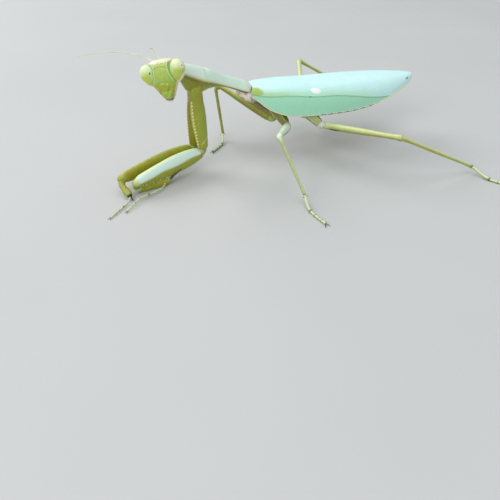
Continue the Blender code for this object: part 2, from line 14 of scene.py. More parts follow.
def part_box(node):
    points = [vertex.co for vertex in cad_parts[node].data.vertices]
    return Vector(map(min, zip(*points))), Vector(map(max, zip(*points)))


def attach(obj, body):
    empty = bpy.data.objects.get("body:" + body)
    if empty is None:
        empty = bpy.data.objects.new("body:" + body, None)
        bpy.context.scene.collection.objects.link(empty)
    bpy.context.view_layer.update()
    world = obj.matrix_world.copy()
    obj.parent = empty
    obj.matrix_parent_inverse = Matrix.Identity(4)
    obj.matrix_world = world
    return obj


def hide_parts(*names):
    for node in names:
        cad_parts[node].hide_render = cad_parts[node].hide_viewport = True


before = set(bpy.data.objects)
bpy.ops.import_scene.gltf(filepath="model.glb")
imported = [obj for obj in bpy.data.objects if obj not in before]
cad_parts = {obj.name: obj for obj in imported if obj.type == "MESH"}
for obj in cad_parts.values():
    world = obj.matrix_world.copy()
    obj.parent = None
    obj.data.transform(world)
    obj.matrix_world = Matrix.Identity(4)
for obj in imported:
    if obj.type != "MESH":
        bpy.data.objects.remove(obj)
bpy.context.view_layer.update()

MM = 0.001
ABDOMEN_START = 13.8            # X of the front end of node abdomen_front in the body frame
low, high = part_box("abdomen_front")
SHIFT = np.array((low.x - ABDOMEN_START * MM, (low.y + high.y) / 2, 0))

UP = np.array((0, 0, 1))
ASKEW = (0.31, 0.17, 0.93)      # a direction that no thorn or feeler follows

# Marks on the skin: how much of each other colour a point has over the olive green
MARKS = ("fresh", "mint", "cream", "dark", "brown", "blush")


def marked(count, **shares):
    """Rows of marks for count points. The marks that aren't named are 0."""
    rows = np.zeros((count, len(MARKS)))
    for name, share in shares.items():
        rows[:, MARKS.index(name)] = share
    return np.clip(rows, 0, 1)


# ------------ shapes

def unit(vector):
    return np.asarray(vector, float) / np.linalg.norm(vector)


def ramp(x, low, high):
    """0 below low, 1 above high, and smooth between them. low may be the larger."""
    t = np.clip((np.asarray(x, float) - low) / (high - low), 0, 1)
    return t * t * (3 - 2 * t)


def hill(x, centre, width):
    return np.exp(-(((np.asarray(x, float) - centre) / width) ** 2))


def around(sides):
    """Cosines and sines of evenly spaced angles, and the angles."""
    angles = np.arange(sides) * 2 * math.pi / sides
    return np.cos(angles), np.sin(angles), angles


def table(knots, at):
    """Rows of (position, values...) joined by a smooth curve, read at the given positions."""
    knots = np.asarray(knots, float)
    where, values = knots[:, 0], knots[:, 1:]
    slopes = np.gradient(values, where, axis=0)
    at = np.clip(np.atleast_1d(np.asarray(at, float)), where[0], where[-1])
    i = np.clip(np.searchsorted(where, at, side="right") - 1, 0, len(where) - 2)
    span = (where[i + 1] - where[i])[:, None]
    t = (at - where[i])[:, None] / span
    rise = 2 * t**3 - 3 * t**2 + 1
    return (rise * values[i] + (t**3 - 2 * t**2 + t) * span * slopes[i]
            + (1 - rise) * values[i + 1] + (t**3 - t**2) * span * slopes[i + 1])


def with_lengths(points):
    """Points of a line, and the distance of each along it."""
    return points, np.concatenate([[0], np.cumsum(np.linalg.norm(np.diff(points, axis=0), axis=1))])


def curve(knots, count=80):
    """A smooth line through knots."""
    where = np.arange(len(knots))
    return with_lengths(table(np.column_stack([where, knots]), np.linspace(0, len(knots) - 1, count)))


def bent_line(points, radius, arc_steps=12):
    """Straight runs joined by arcs, and the distance of each inner joint along the line."""
    points = [np.asarray(p, float) for p in points]
    path, joints = [points[0]], []
    for before_it, point, after_it in zip(points, points[1:], points[2:]):
        before, after = unit(point - before_it), unit(after_it - point)
        turn = math.acos(max(-1, min(1, float(before @ after))))
        room = 0.45 * min(np.linalg.norm(point - before_it), np.linalg.norm(after_it - point))
        bend = min(radius, room / math.tan(turn / 2))
        start = point - before * bend * math.tan(turn / 2)
        inward = (after - before * math.cos(turn)) / math.sin(turn)
        joints.append(len(path) + arc_steps // 2)
        for angle in np.linspace(0, turn, arc_steps + 1):
            path.append(start + before * bend * math.sin(angle) + inward * bend * (1 - math.cos(angle)))
    path, along = with_lengths(np.array(path + [points[-1]]))
    return (path, along), along[joints]


def read(line, at, reach=0.25):
    """Points of a line and its directions at distances along it."""
    (path, along), at = line, np.atleast_1d(at)

    def point(distance):
        return np.stack([np.interp(distance, along, path[:, k]) for k in range(3)], 1)

    direction = point(at + reach) - point(at - reach)
    return point(at), direction / np.linalg.norm(direction, axis=1)[:, None]


def body(rings, marks):
    """A closed body through rings of equal length, faces turned outward. Each point has a row of marks."""
    rings, marks = np.asarray(rings, float), np.asarray(marks, float)
    count, sides, _ = rings.shape
    points, marks = (np.concatenate([rows.reshape(-1, rows.shape[-1]), [rows[0].mean(0), rows[-1].mean(0)]])
                     for rows in (rings, marks))
    j = np.arange(sides)
    after = (j + 1) % sides
    start = np.arange(count - 1)[:, None] * sides
    quads = np.stack([start + j, start + after, start + after + sides, start + j + sides], 2).reshape(-1, 4)
    first, last, base = count * sides, count * sides + 1, (count - 1) * sides
    fans = np.concatenate([np.stack([np.full(sides, first), after, j], 1),
                           np.stack([np.full(sides, last), base + j, base + after], 1)])
    a, b, c = points[np.concatenate([fans, quads[:, [0, 1, 2]], quads[:, [0, 2, 3]]])].transpose(1, 0, 2)
    if np.einsum("ij,ij->", a, np.cross(b, c)) < 0:
        quads, fans = quads[:, ::-1], fans[:, ::-1]
    return {"points": points, "faces": quads.tolist() + fans.tolist(), "marks": marks}


def loft(stations, ring):
    """A body through the points that ring gives at each station, with their marks."""
    return body(*zip(*(ring(station) for station in stations)))


def segment(line, widths, paint, sides, step, domes, start=0, end=None, across=UP, square=2, form=None):
    """One length of a limb, oval across, with rounded ends. widths has rows of (fraction, half-width across,
    half-depth). form(fraction, angles) gives a factor for each point, and paint(fraction, normals, angles)
    gives its marks."""
    end = line[1][-1] if end is None else end
    cap = np.linspace(0.12, math.pi / 2, 7)[:-1]
    at = np.concatenate([start + domes[0] * (1 - np.cos(cap)),
                         np.linspace(start + domes[0], end - domes[1], max(3, int((end - start) / step))),
                         (end - domes[1] * (1 - np.cos(cap)))[::-1]])
    shrink = np.concatenate([np.sin(cap), np.ones(len(at) - 2 * len(cap)), np.sin(cap)[::-1]])
    share = (at - start) / (end - start)
    c, s, angles = around(sides)
    round_off = (np.abs(c) ** square + np.abs(s) ** square) ** (-1 / square)

    def ring(station):
        p, d, t, (wide, deep), k = station
        depth_way = unit(np.cross(d, across))
        side_way = unit(np.cross(depth_way, d))
        factor = round_off * k * (form(t, angles) if form else 1)
        points = p + np.outer(c * wide * factor, side_way) + np.outer(s * deep * factor, depth_way)
        return points, paint(t, np.outer(c, side_way) + np.outer(s, depth_way), angles)

    return loft(zip(*read(line, at), share, table(widths, share), shrink), ring)


def one_mark(value):
    """A paint function for a piece with a single mark, which value(fraction) gives."""
    return lambda t, normals, angles: np.full((len(normals), 1), float(value(t)))


def beads(count, depth, power=0.5):
    """A form function with a waist after each bead."""
    return lambda t, angles: 1 - depth + depth * abs(math.sin(math.pi * t * count)) ** power


def to_mesh(name, part, names):
    mesh = bpy.data.meshes.new(name)
    mesh.from_pydata((part["points"] * MM + SHIFT).tolist(), [], part["faces"])
    mesh.update()
    for mark, values in zip(names, part["marks"].T):
        write_mark(mesh.attributes.new(mark, "FLOAT", "POINT"), values)
    return mesh


def write_mark(attribute, values):
    attribute.data.foreach_set("value", np.ascontiguousarray(values, np.float32))


def read_mark(mesh, name):
    values = np.zeros(len(mesh.vertices), np.float32)
    mesh.attributes[name].data.foreach_get("value", values)
    return values


def add(name, data, location=(0, 0, 0), rotation=(0, 0, 0)):
    made = bpy.data.objects.new(name, data)
    made.location, made.rotation_euler = location, rotation
    bpy.context.scene.collection.objects.link(made)
    return made


def place(name, mesh, material, slot, nodes=()):
    mesh.shade_smooth()
    mesh.materials.append(material)
    made = add(name, mesh)
    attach(made, "root")
    if nodes:
        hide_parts(*nodes)


def piece(name, parts, names, material, slot, *nodes):
    """One object of several closed bodies, which rides on the root body."""
    faces, count = [], 0
    for part in parts:
        faces += [tuple(i + count for i in face) for face in part["faces"]]
        count += len(part["points"])
    whole = {key: np.concatenate([part[key] for part in parts]) for key in ("points", "marks")}
    place(name, to_mesh(name, {**whole, "faces": faces}, names), material, slot, nodes)


def union(name, parts):
    """One closed mesh of all the bodies, each of which keeps its marks. Points made by the union itself
    come without marks, and take those of their neighbours."""
    names = (*MARKS, "known")
    made = []
    for k, part in enumerate(parts):
        known = np.column_stack([part["marks"], np.ones(len(part["marks"]))])
        made.append(add(f"{name}_{k}", to_mesh(f"{name}_{k}", {**part, "marks": known}, names)))
    for other in made[1:]:
        step = made[0].modifiers.new(other.name, "BOOLEAN")
        step.operation, step.solver, step.object = "UNION", "MANIFOLD", other
    whole = bpy.data.meshes.new_from_object(made[0].evaluated_get(bpy.context.evaluated_depsgraph_get()))
    for thing in made:
        bpy.data.objects.remove(thing)
    marks = np.column_stack([read_mark(whole, mark) for mark in names])
    edges = np.zeros(2 * len(whole.edges), np.int32)
    whole.edges.foreach_get("vertices", edges)
    one, other = edges.reshape(-1, 2).T
    for _ in range(4):
        total = np.zeros_like(marks)
        np.add.at(total, one, marks[other])
        np.add.at(total, other, marks[one])
        lost = (marks[:, -1] < 0.5) & (total[:, -1] > 0.5)
        marks[lost] = total[lost] / total[lost, -1:]
    for mark, values in zip(MARKS, marks.T):
        write_mark(whole.attributes[mark], values)
    whole.attributes.remove(whole.attributes["known"])
    whole.materials.clear()
    return whole


# ------------ materials

class Wire:
    """What a shader node gives, ready for sums with numbers and other wires."""

    def __init__(self, maker, socket):
        self.maker, self.socket = maker, socket

    def __add__(self, other):
        return self.maker.math("ADD", self, other)

    def __sub__(self, other):
        return self.maker.math("SUBTRACT", self, other)

    def __rsub__(self, other):
        return self.maker.math("SUBTRACT", other, self)

    def __mul__(self, other):
        return self.maker.math("MULTIPLY", self, other)


class Nodes:
    """A Principled material, with short ways to add the nodes that drive it. Colours are given as seen on a
    screen, and patterns by how many of their waves go in a millimetre."""

    def __init__(self, name, roughness, **values):
        self.material = bpy.data.materials.new(name)
        self.material.use_nodes = True
        self.tree = self.material.node_tree
        self.shader = self.tree.nodes["Principled BSDF"]
        for key, value in {"Roughness": roughness, **values}.items():
            self.set(key.replace("_", " "), value)

    def set(self, name, value):
        self.join(self.shader.inputs[name], value)

    def join(self, socket, value):
        if isinstance(value, Wire):
            self.tree.links.new(value.socket, socket)
        elif socket.type == "RGBA":
            light = (((c + 0.055) / 1.055) ** 2.4 if c > 0.04045 else c / 12.92 for c in value)
            socket.default_value = (*light, 1)
        else:
            socket.default_value = value

    def node(self, kind, output, inputs, **settings):
        made = self.tree.nodes.new("ShaderNode" + kind)
        for key, value in settings.items():
            setattr(made, key, value)
        for key, value in inputs.items():
            self.join(made.inputs[key], value)
        return Wire(self, made.outputs[output])

    def mark(self, name):
        return self.node("Attribute", "Fac", {}, attribute_name=name)

    def math(self, operation, a, b=0):
        return self.node("Math", 0, {0: a, 1: b}, operation=operation)

    def mix(self, share, a, b):
        return self.node("Mix", 2, {0: share, 6: a, 7: b}, data_type="RGBA")

    def layers(self, base, *layers):
        """A colour with others over it. Each layer is how much of it shows, and its colour."""
        for share, colour in layers:
            base = self.mix(share, base, colour)
        return base

    def noise(self, per_mm, detail=3):
        place = self.node("TexCoord", "Object", {})
        return self.node("TexNoise", "Fac", {"Vector": place, "Scale": per_mm / MM, "Detail": detail})

    def cells(self, per_mm):
        place = self.node("TexCoord", "Object", {})
        return self.node("TexVoronoi", "Distance", {"Vector": place, "Scale": per_mm / MM})

    def spread(self, value, low, high):
        """Stretches low..high to 0..1."""
        return self.node("MapRange", "Result", {"Value": value, "From Min": low, "From Max": high})

    def finish(self, colour, height, depth_mm, strength):
        """Sets the colour and the bump, and gives the material."""
        bump = {"Height": height, "Distance": depth_mm * MM, "Strength": strength}
        self.set("Base Color", colour)
        self.set("Normal", self.node("Bump", "Normal", bump))
        return self.material


COLOURS = {
    "olive": (0.64, 0.62, 0.11),
    "leaf": (0.63, 0.75, 0.26),
    "mint": (0.87, 0.96, 0.90),
    "cream": (0.94, 0.93, 0.62),
    "brown": (0.45, 0.28, 0.13),
    "blush": (0.95, 0.90, 0.87),
    "dark": (0.11, 0.09, 0.05),
    "shade": (0.44, 0.46, 0.12),
}


def skin_material():
    made = Nodes("cuticle", 0.4, Subsurface_Weight=0.12, Subsurface_Scale=0.5 * MM, Coat_Weight=0.2,
                 Subsurface_Radius=(0.9, 1, 0.4), Coat_Roughness=0.2)
    small = made.noise(3)
    wander = made.spread(made.noise(0.35) + made.noise(1.3), 0.85, 1.2) * 0.6
    green = made.mix(made.math("MAXIMUM", wander, made.mark("fresh")), COLOURS["olive"], COLOURS["leaf"])
    pale = made.math("MINIMUM", made.mark("mint") + made.mark("blush"), 1)
    shade = made.spread(small, 0.35, 0.7) * (0.22 - pale * 0.18)
    laid = [(made.mark(name), COLOURS[name]) for name in ("mint", "blush", "cream", "brown")]
    colour = made.layers(green, *laid, (shade, COLOURS["shade"]), (made.mark("dark"), COLOURS["dark"]))
    made.set("Roughness", made.spread(small, -1, 2.6))
    return made.finish(colour, made.noise(9, 2) + made.cells(7) * 0.5, 0.02, 0.5)


def wing_material():
    made = Nodes("tegmen", 0.42, Subsurface_Weight=0.15, Subsurface_Scale=0.5 * MM, Coat_Weight=0.1,
                 Subsurface_Radius=(0.6, 1, 0.8), Coat_Roughness=0.3)
    field, along, above = made.mark("field"), made.mark("along"), made.mark("above")
    warp = (made.noise(0.5, 1) + made.noise(1.8, 1) * 0.35 - 0.67) * 0.55

    def lines(value, spacing, thin):
        """Thin lines where value passes each multiple of spacing."""
        share = made.math("FRACT", made.math("DIVIDE", value + warp, spacing))
        return made.spread(made.math("ABSOLUTE", share - 0.5), thin, 0)

    # Below the radial vein the veins run down to the rim, and above it they sweep back across the wing
    down = lines(along + above * 0.22, 0.42, 0.26)
    cross = lines(along + above * 0.9, 0.42, 0.18)
    upper = made.math("MAXIMUM", lines(above - along * 0.16, 0.55, 0.18), cross * 0.6)
    lower_colour = made.mix(down * 0.35, (0.64, 0.88, 0.75), (0.76, 0.96, 0.86))
    upper_colour = made.layers((0.83, 0.98, 0.97), (made.mark("near_vein"), (0.74, 0.93, 0.80)),
                               (upper * 0.15, (0.68, 0.88, 0.83)))
    colour = made.layers(made.mix(field, lower_colour, upper_colour),
                         (made.spread(made.noise(0.4), 0.4, 0.7) * 0.15, (0.66, 0.90, 0.72)),
                         (made.mark("callus"), (0.68, 0.76, 0.30)),
                         (made.mark("rim"), (0.90, 0.93, 0.74)),
                         (made.mark("radius"), (0.45, 0.62, 0.46)),
                         (made.spread(made.mark("spot"), 1.04, 0.94), (0.99, 1, 0.99)),
                         (made.mark("dark"), (0.10, 0.20, 0.18)))
    return made.finish(colour, (1 - field) * down + field * upper + made.noise(5, 2) * 0.3, 0.045, 0.8)


def eye_material():
    made = Nodes("eye", 0.42, Coat_Weight=0.2, Coat_Roughness=0.26, Subsurface_Weight=0.15,
                 Subsurface_Scale=0.6 * MM, Subsurface_Radius=(0.7, 1, 0.4))
    height, near = made.mark("height"), made.mark("pupil")
    # The whitish top is a painted highlight on the eye's top; the yellower lower part is the eye's own colour.
    colour = made.layers((0.69, 0.72, 0.20), (made.spread(height, 0, 0.4), (0.71, 0.78, 0.33)),
                         (made.spread(height, 0.70, 1.1), (0.94, 0.96, 0.84)),
                         (made.spread(made.noise(0.8), 0.4, 0.6) * 0.2, (0.72, 0.78, 0.30)),
                         (made.mark("inner"), (0.80, 0.93, 0.76)),
                         (made.mark("rear"), (0.95, 0.91, 0.78)),
                         (made.spread(near, 3.2, 1.2) * made.mark("halo"), (0.95, 0.97, 0.87)),
                         (made.spread(near, 1.15, 0.75) * made.mark("keen"), (0.09, 0.11, 0.03)))
    return made.finish(colour, made.cells(26), 0.006, 0.5)


def plain_material(name, colour, other, roughness, per_mm=1.2, mark=None, marked_colour=None):
    """A colour that wanders to another one, and to a third where a mark says so, with a fine grain."""
    made = Nodes(name, roughness)
    base = made.mix(made.spread(made.noise(per_mm), 0.35, 0.65), colour, other)
    if mark:
        base = made.mix(made.mark(mark), base, marked_colour)
    return made.finish(base, made.noise(12, 2), 0.01, 0.5)


# ------------ trunk

def frame_facing(pitch, yaw):
    """Forward, left and upward directions of a part that looks along -X before it is turned."""
    forward = np.array((-math.cos(pitch) * math.cos(yaw), -math.cos(pitch) * math.sin(yaw), math.sin(pitch)))
    left = unit(np.cross(UP, forward))
    return forward, left, np.cross(forward, left)


PRO_REAR = np.array((0, 0, 16.8))
PRO_LENGTH = 20.9
PRO_FORWARD, PRO_LEFT, PRO_UP = frame_facing(math.radians(25.3), math.radians(19.2))
# Along the prothorax: distance from the rear, half-width, crown above the axis, belly below it
PRONOTUM = ((0.8, 1.5, 1.1, 1.35), (2, 1.85, 1.3, 1.45), (4.5, 1.75, 1.3, 1.3), (9, 1.6, 1.25, 1.4),
            (12, 1.9, 1.4, 2.5), (14.2, 2.3, 1.5, 3.9), (16.8, 2.05, 1.4, 4.1), (19.5, 1.6, 1.1, 2.3),
            (PRO_LENGTH, 1.1, 0.75, 1.7))
SHIELD_EDGE = 0.8               # how far below the axis the shield's edge lies
SHIELD_LIP = 0.3                # how far it stands out over the chest
CHEST_DROP = 0.12               # from the shield's edge to the top of the chest's side
SULCUS = 14.6                   # where the groove crosses the pronotum

# Along X: centre height, half-width, half-height
THORAX = ((-3.2, 16.3, 1, 0.7), (-1.8, 15.8, 2.1, 1.4), (0.5, 15.1, 3, 1.8), (3, 13.9, 3.4, 2.5),
          (6.5, 12.8, 3.6, 2.9), (10, 12.4, 3.7, 3), (14.5, 12, 3.9, 2.9))
ABDOMEN = ((13, 11.8, 3.9, 2.8), (18, 11.3, 4.8, 3), (24, 11.1, 5.1, 2.9), (30, 11.4, 4.5, 2.3),
           (35, 11.8, 3.2, 1.6), (38, 12.1, 2, 1.1), (39.4, 12.3, 1.2, 0.7))
STERNITE = 3.7                  # length of one plate of the abdomen


def prothorax():
    """The pronotum's arched shield, with an edge that stands out over the narrower chest."""
    front, rear = PRO_LENGTH, PRONOTUM[0][0]
    angles, under = np.linspace(0, math.pi, 57), np.linspace(0, -math.pi, 31)[-2:0:-1]
    c, s, cu, su = np.cos(angles), np.sin(angles), np.cos(under), np.sin(under)
    edge = ramp(s, 0.09, 0.03)
    rim = 0.07 * ramp(np.abs(c), 0.93, 0.99)

    def ring(t):
        wide, crown, belly = table(PRONOTUM, t)[0]
        rounding = 0.55 + 0.45 * math.sqrt(1 - (1 - min((t - rear) / 0.5, 1)) ** 2)
        y = wide * c * (0.5 + 0.5 * rounding)
        keel = 0.10 * hill(y, 0, 0.16) * ramp(t, 1.5, 3) * ramp(t, 13.8, 12)
        trough = 0.16 * hill(y, 0, 0.13) * ramp(t, 14.8, 15.6) * ramp(t, 19.6, 18)
        groove = 0.22 * hill(t, SULCUS + 0.35 * (y / wide) ** 2, 0.3) * (1 - 0.7 * (y / wide) ** 4)
        swell = 0.12 * hill(t, 12.6, 1.6) * hill(abs(y), 0.55 * wide, 0.35 * wide)
        rear_rim = 0.08 * hill(t, rear + 0.65, 0.16) * s
        z = ((crown + SHIELD_EDGE) * s * rounding - SHIELD_EDGE
             + keel - trough - groove + swell + rear_rim + rim)
        taper = 0.2 - 0.08 * ramp(t, 10, 14)
        folds = 0.05 * np.sin(9 * under + 2) * ramp(t, 11, 14) * ramp(t, 20.5, 19)
        y_under = ((wide - SHIELD_LIP) * rounding * (1 + taper * su) + folds) * cu
        z_under = (belly - SHIELD_EDGE - CHEST_DROP) * su * rounding - SHIELD_EDGE - CHEST_DROP
        points = (PRO_REAR + PRO_FORWARD * t + np.outer(np.append(y + np.sign(c) * rim, y_under), PRO_LEFT)
                  + np.outer(np.append(z, z_under), PRO_UP))
        shield = marked(len(c), mint=(0.95 - 0.2 * hill(t, SULCUS, 0.4)) * (1 - 0.5 * edge),
                        blush=0.75 * ramp(t, 4, 1.4) + 0.25 * hill(t, 17, 3) * s + 0.3 * edge,
                        cream=0.75 * edge * ramp(t, 2, 4))
        # The chest's dark band just under the shield's edge is painted shade beneath the overhanging shield.
        chest = marked(len(cu), brown=0.75 * ramp(t, 10, 6) * ramp(su, -0.9, -0.2) + 0.12,
                       blush=0.5 * ramp(t, 9, 4) * ramp(su, -0.1, -0.7), dark=0.35 * ramp(cu**2, 0.8, 1))
        return points, np.concatenate([shield, chest])

    at = np.concatenate([rear + 0.5 * (1 - np.cos(np.linspace(0.15, math.pi / 2, 7))),
                         np.arange(rear + 0.7, front - 0.7, 0.2), np.linspace(front - 0.6, front, 8)])
    return loft(at, ring)


def trunk(knots, at, sides, relief, paint):
    """An oval body along X. relief and paint take X and the cosine and sine of the angle around it."""
    c, s, _ = around(sides)

    def ring(x):
        z, wide, high = table(knots, x)[0]
        grow = relief(x, c, s)
        return np.stack([np.full(sides, x), (wide + grow) * c, z + (high + grow) * s], 1), paint(x, c, s)

    return loft(at, ring)


def thorax():
    """The two wing-bearing rings of the thorax, with a pleated pale collar in front and brown sides."""
    def relief(x, c, s):
        side = ramp(np.abs(c), 0.35, 0.8)
        pleats = 0.11 * np.sin(5.5 * x + 2.2 * s) * ramp(x, 2.4, 0.8) * side
        plates = 0.10 * np.sin(1.7 * x + 3 * s) * ramp(x, 1, 3) * side
        return pleats + plates - 0.2 * hill(x, 5.6, 0.3) * ramp(-s, -0.3, 0.3)

    # In paint, the lower sides are their own brown, darkened with painted shade, and the dark line just under
    # the wings' rims is painted shadow.
    def paint(x, c, s):
        streak = np.sin(4.2 * x + 2.5 * s + 1.5 * np.sin(3.1 * s + x)) * np.sin(2.2 * s - 1.4 * x + 0.7)
        lower = ramp(s, 0.5, -0.1) * ramp(x, -1.2, 1)
        return marked(len(c), blush=0.95 * ramp(x, 2, -0.2) * ramp(s, -0.9, -0.3) + 0.5 * ramp(s, 0.4, 0.8),
                      brown=0.9 * lower + 0.6 * ramp(streak, 0, 0.9) * ramp(s, 0.85, 0.3),
                      dark=0.3 * lower + 0.3 * hill(s, -0.15, 0.22) * ramp(x, 1.5, 3.5))

    at = np.concatenate([np.linspace(-3.2, -2.6, 6), np.arange(-2.5, 14.5, 0.22)])
    return trunk(THORAX, at, 60, relief, paint)


def abdomen():
    """Overlapping plates, each a little wider at its rear edge than the next one's front."""
    start, end = ABDOMEN[0][0], ABDOMEN[-1][0]

    def plate_share(x):
        return (x - start) / STERNITE % 1

    def relief(x, c, s):
        share = plate_share(x)
        side = ramp(np.abs(c), 0.75, 0.95)
        return 0.16 * (share - 0.6) - 0.22 * hill(share, 0, 0.06) - 0.1 * side * hill(s, -0.05, 0.12)

    # In paint, the brown band along the side is partly the abdomen's own colour and partly painted shade under
    # the wings' rims, and the dark line on it is painted shadow there. The dark rings at the plates' joints
    # are their own colour.
    def paint(x, c, s):
        share = plate_share(x)
        return marked(len(c), mint=0.25 * ramp(s, 0.2, 0.7), cream=0.45 * ramp(share, 0.86, 0.97),
                      brown=0.75 * hill(s, 0.05, 0.28) + 0.2,
                      dark=0.6 * hill(s, 0.1, 0.2) + 0.4 * hill(share, 0, 0.05))

    at = np.concatenate([np.arange(start, 38.9, 0.31), np.linspace(38.95, end, 5)])
    return trunk(ABDOMEN, at, 48, relief, paint)


def cercus(sign):
    """A short beaded tail feeler."""
    count = 11

    def paint(t, normals, angles):
        return marked(len(normals), cream=0.25, dark=0.25 * (1 - abs(math.sin(math.pi * t * count))))

    knots = ((38.6, sign * 0.6, 12.1), (39.75, sign * 1.05, 12.2), (40.9, sign * 1.2, 12.3))
    widths = ((0, 0.38, 0.34), (0.5, 0.42, 0.36), (1, 0.18, 0.17))
    return segment(curve(knots), widths, paint, 16, 0.06, (0.2, 0.3), form=beads(count, 0.16, 0.6))


# ------------ head

HEAD_CENTRE = np.array((-21.1, -9.2, 25.2))
FACING, LEVEL, UPRIGHT = frame_facing(math.radians(4), math.radians(65))
HEAD_ROLL = math.radians(12)
# Rightwards in the face's view, and up the face
ACROSS = LEVEL * math.cos(HEAD_ROLL) + UPRIGHT * math.sin(HEAD_ROLL)
CROWNWARD = np.cross(FACING, ACROSS)
EYE_OFFSET = (2.74, 0.45, 0)
EYE_RADII = (1.6, 2.42, 1.5)
EYE_LEAN = math.radians(18)
EYE_PEAR = 0.20                 # how much wider the eye is near its top, as a share
EYE_BOW = 0.50                  # how far its lower end curves in towards the mouth
# Up the head: height, half-width, depth in front of and behind the centre
CAPSULE = ((-4.4, 0.7, 0.85, 0.75), (-4, 1.05, 1.1, 0.9), (-3, 1.6, 1.4, 1.15), (-2, 2.2, 1.55, 1.4),
           (-1, 2.85, 1.6, 1.6), (-0.4, 3.3, 1.6, 1.7), (0.2, 3.45, 1.57, 1.75), (1.6, 3.3, 1.42, 1.7),
           (2.6, 2.75, 1.05, 1.45), (3.05, 2.1, 0.65, 1.1), (3.25, 1.3, 0.3, 0.8))
CAPSULE_SQUARENESS = 2.6
# Up the face: height, and how far from the middle the groove beside the eye runs
EYE_GROOVE = ((-1.5, 2.65), (-0.5, 2.1), (0.7, 1.74), (2.2, 1.62), (2.8, 1.75))


def on_head(a, v, w):
    """The point that lies a across, v up and w in front of the middle of the head."""
    ways = ((a, ACROSS), (v, CROWNWARD), (w, FACING))
    return HEAD_CENTRE + sum(np.multiply.outer(part, way) for part, way in ways)


def frons_edge(a):
    """Height of the arched upper edge of the shield between the eyes."""
    return 2.12 - 0.3 * np.abs(a) ** 2.2


def face_relief(a, v):
    """How far the face stands out of the plain capsule: plates, grooves and folds."""
    b = np.abs(a)
    groove = table(EYE_GROOVE, v)[0][0]
    beside_eye = ramp(v, -1.5, -0.7) * ramp(v, 3, 2.5)
    out = -0.36 * ramp(b - groove, 0, 0.35) * beside_eye
    out -= 0.10 * hill(b, groove + 0.02, 0.09) * beside_eye
    out += 0.10 * hill(b, groove - 0.2, 0.13) * beside_eye
    inside = ramp(b, 1.7, 1.2)
    shield = ramp(frons_edge(a) - v, -0.10, 0.25) * ramp(v, -0.9, -0.1) * inside
    out += 0.08 * shield + 0.05 * hill(a, 0, 0.7) * shield
    out -= 0.05 * hill(v, frons_edge(a) + 0.08, 0.10) * inside
    out += 0.08 * hill(v, 2.5, 0.22) * ramp(b, 1.5, 0.9)
    # The rounded clypeus and upper lip below the shield, with soft folds between and beside them
    out -= 0.06 * hill(v, -0.55 - 0.16 * a**2, 0.16) * ramp(b, 1.7, 0.9)
    out += 0.12 * ramp(np.hypot(a / 1.3, (v + 1.6) / 0.9), 1.1, 0.5)
    out += 0.20 * ramp(np.hypot(a / 0.95, (v + 3.3) / 0.9), 1.15, 0.5)
    out += 0.14 * hill(b, 1.35, 0.4) * ramp(v, -4.2, -3.4) * ramp(v, -1, -2.2)
    out -= 0.04 * hill(b, 1.05, 0.16) * ramp(v, -4.1, -3.4) * ramp(v, -1, -1.8)
    ripples = np.sin(5.1 * a + 2.3 * v + 1.1) * np.sin(6.3 * v - 2.9 * a) + np.sin(4.2 * a - 3.4 * v)
    out += 0.04 * ripples * ramp(v, 0, -0.9) * ramp(b, 2.3, 1.6)
    # Low mounds that carry the feelers
    for middle in (-0.75, 0.75):
        away = np.hypot(a - middle, v - 2.5)
        out += 0.08 * hill(away, 0.28, 0.09) - 0.08 * hill(away, 0, 0.16)
    return out


def face_marks(a, v, front, cheek):
    """front is 1 on the face and 0 behind it, and cheek is how pale the side of the head is."""
    b = np.abs(a)
    groove = table(EYE_GROOVE, v)[0][0]
    beside_eye = ramp(v, -1.5, -0.7) * ramp(v, 2.9, 2.5) * front
    middle = ramp(b, 1.7, 1) * front
    labrum = ramp(np.hypot(a / 0.95, (v + 3.2) / 0.8), 1.1, 0.6) * front
    patches = 0.5 * np.sin(2.3 * a + 1.3 * v) * np.sin(2.7 * v - 1.6 * a + 0.6)
    ridges = 0.45 * hill(b, groove - 0.2, 0.11) + 0.4 * ramp(a, -groove, -groove - 0.15)
    lip = ramp(v, -3.6, -3.85) * ramp(v, -4.3, -4.15) * middle
    cream = (0.3 * hill(v, 2.4, 0.2) + 0.16 * ramp(v, -0.4, 0.6)) * middle + 0.6 * lip
    lines = 0.08 * hill(v, frons_edge(a) + 0.06, 0.08) + 0.05 * hill(v, -2.4 - 0.10 * a**2, 0.14)
    spots = ramp(np.sin(6.3 * v) * np.sin(5 * b + 1), 0.3, 0.8) * hill(b, 1.5, 0.35) * ramp(v, -1.9, -2.7)
    return marked(len(a), fresh=ramp(v, -1.2, -0.2) + 0.8 * labrum + 0.4 + patches,
                  # mint: pale ridges beside the eyes, and a painted highlight along the crease at the clypeus'
                  # top
                  mint=ridges * beside_eye + 0.12 * hill(v, -0.35, 0.16) * middle,
                  blush=np.maximum(0.75 * ramp(v, 2.5, 2.9), cheek), cream=np.maximum(cream, cheek),
                  # dark: painted shade in the groove beside each eye, and dark lines along the folds of the
                  # face
                  dark=0.36 * hill(b, groove + 0.02, 0.06) * beside_eye + lines * middle,
                  brown=0.85 * ramp(v, -4.2, -4.35) + 0.45 * spots + 0.42 * lip)


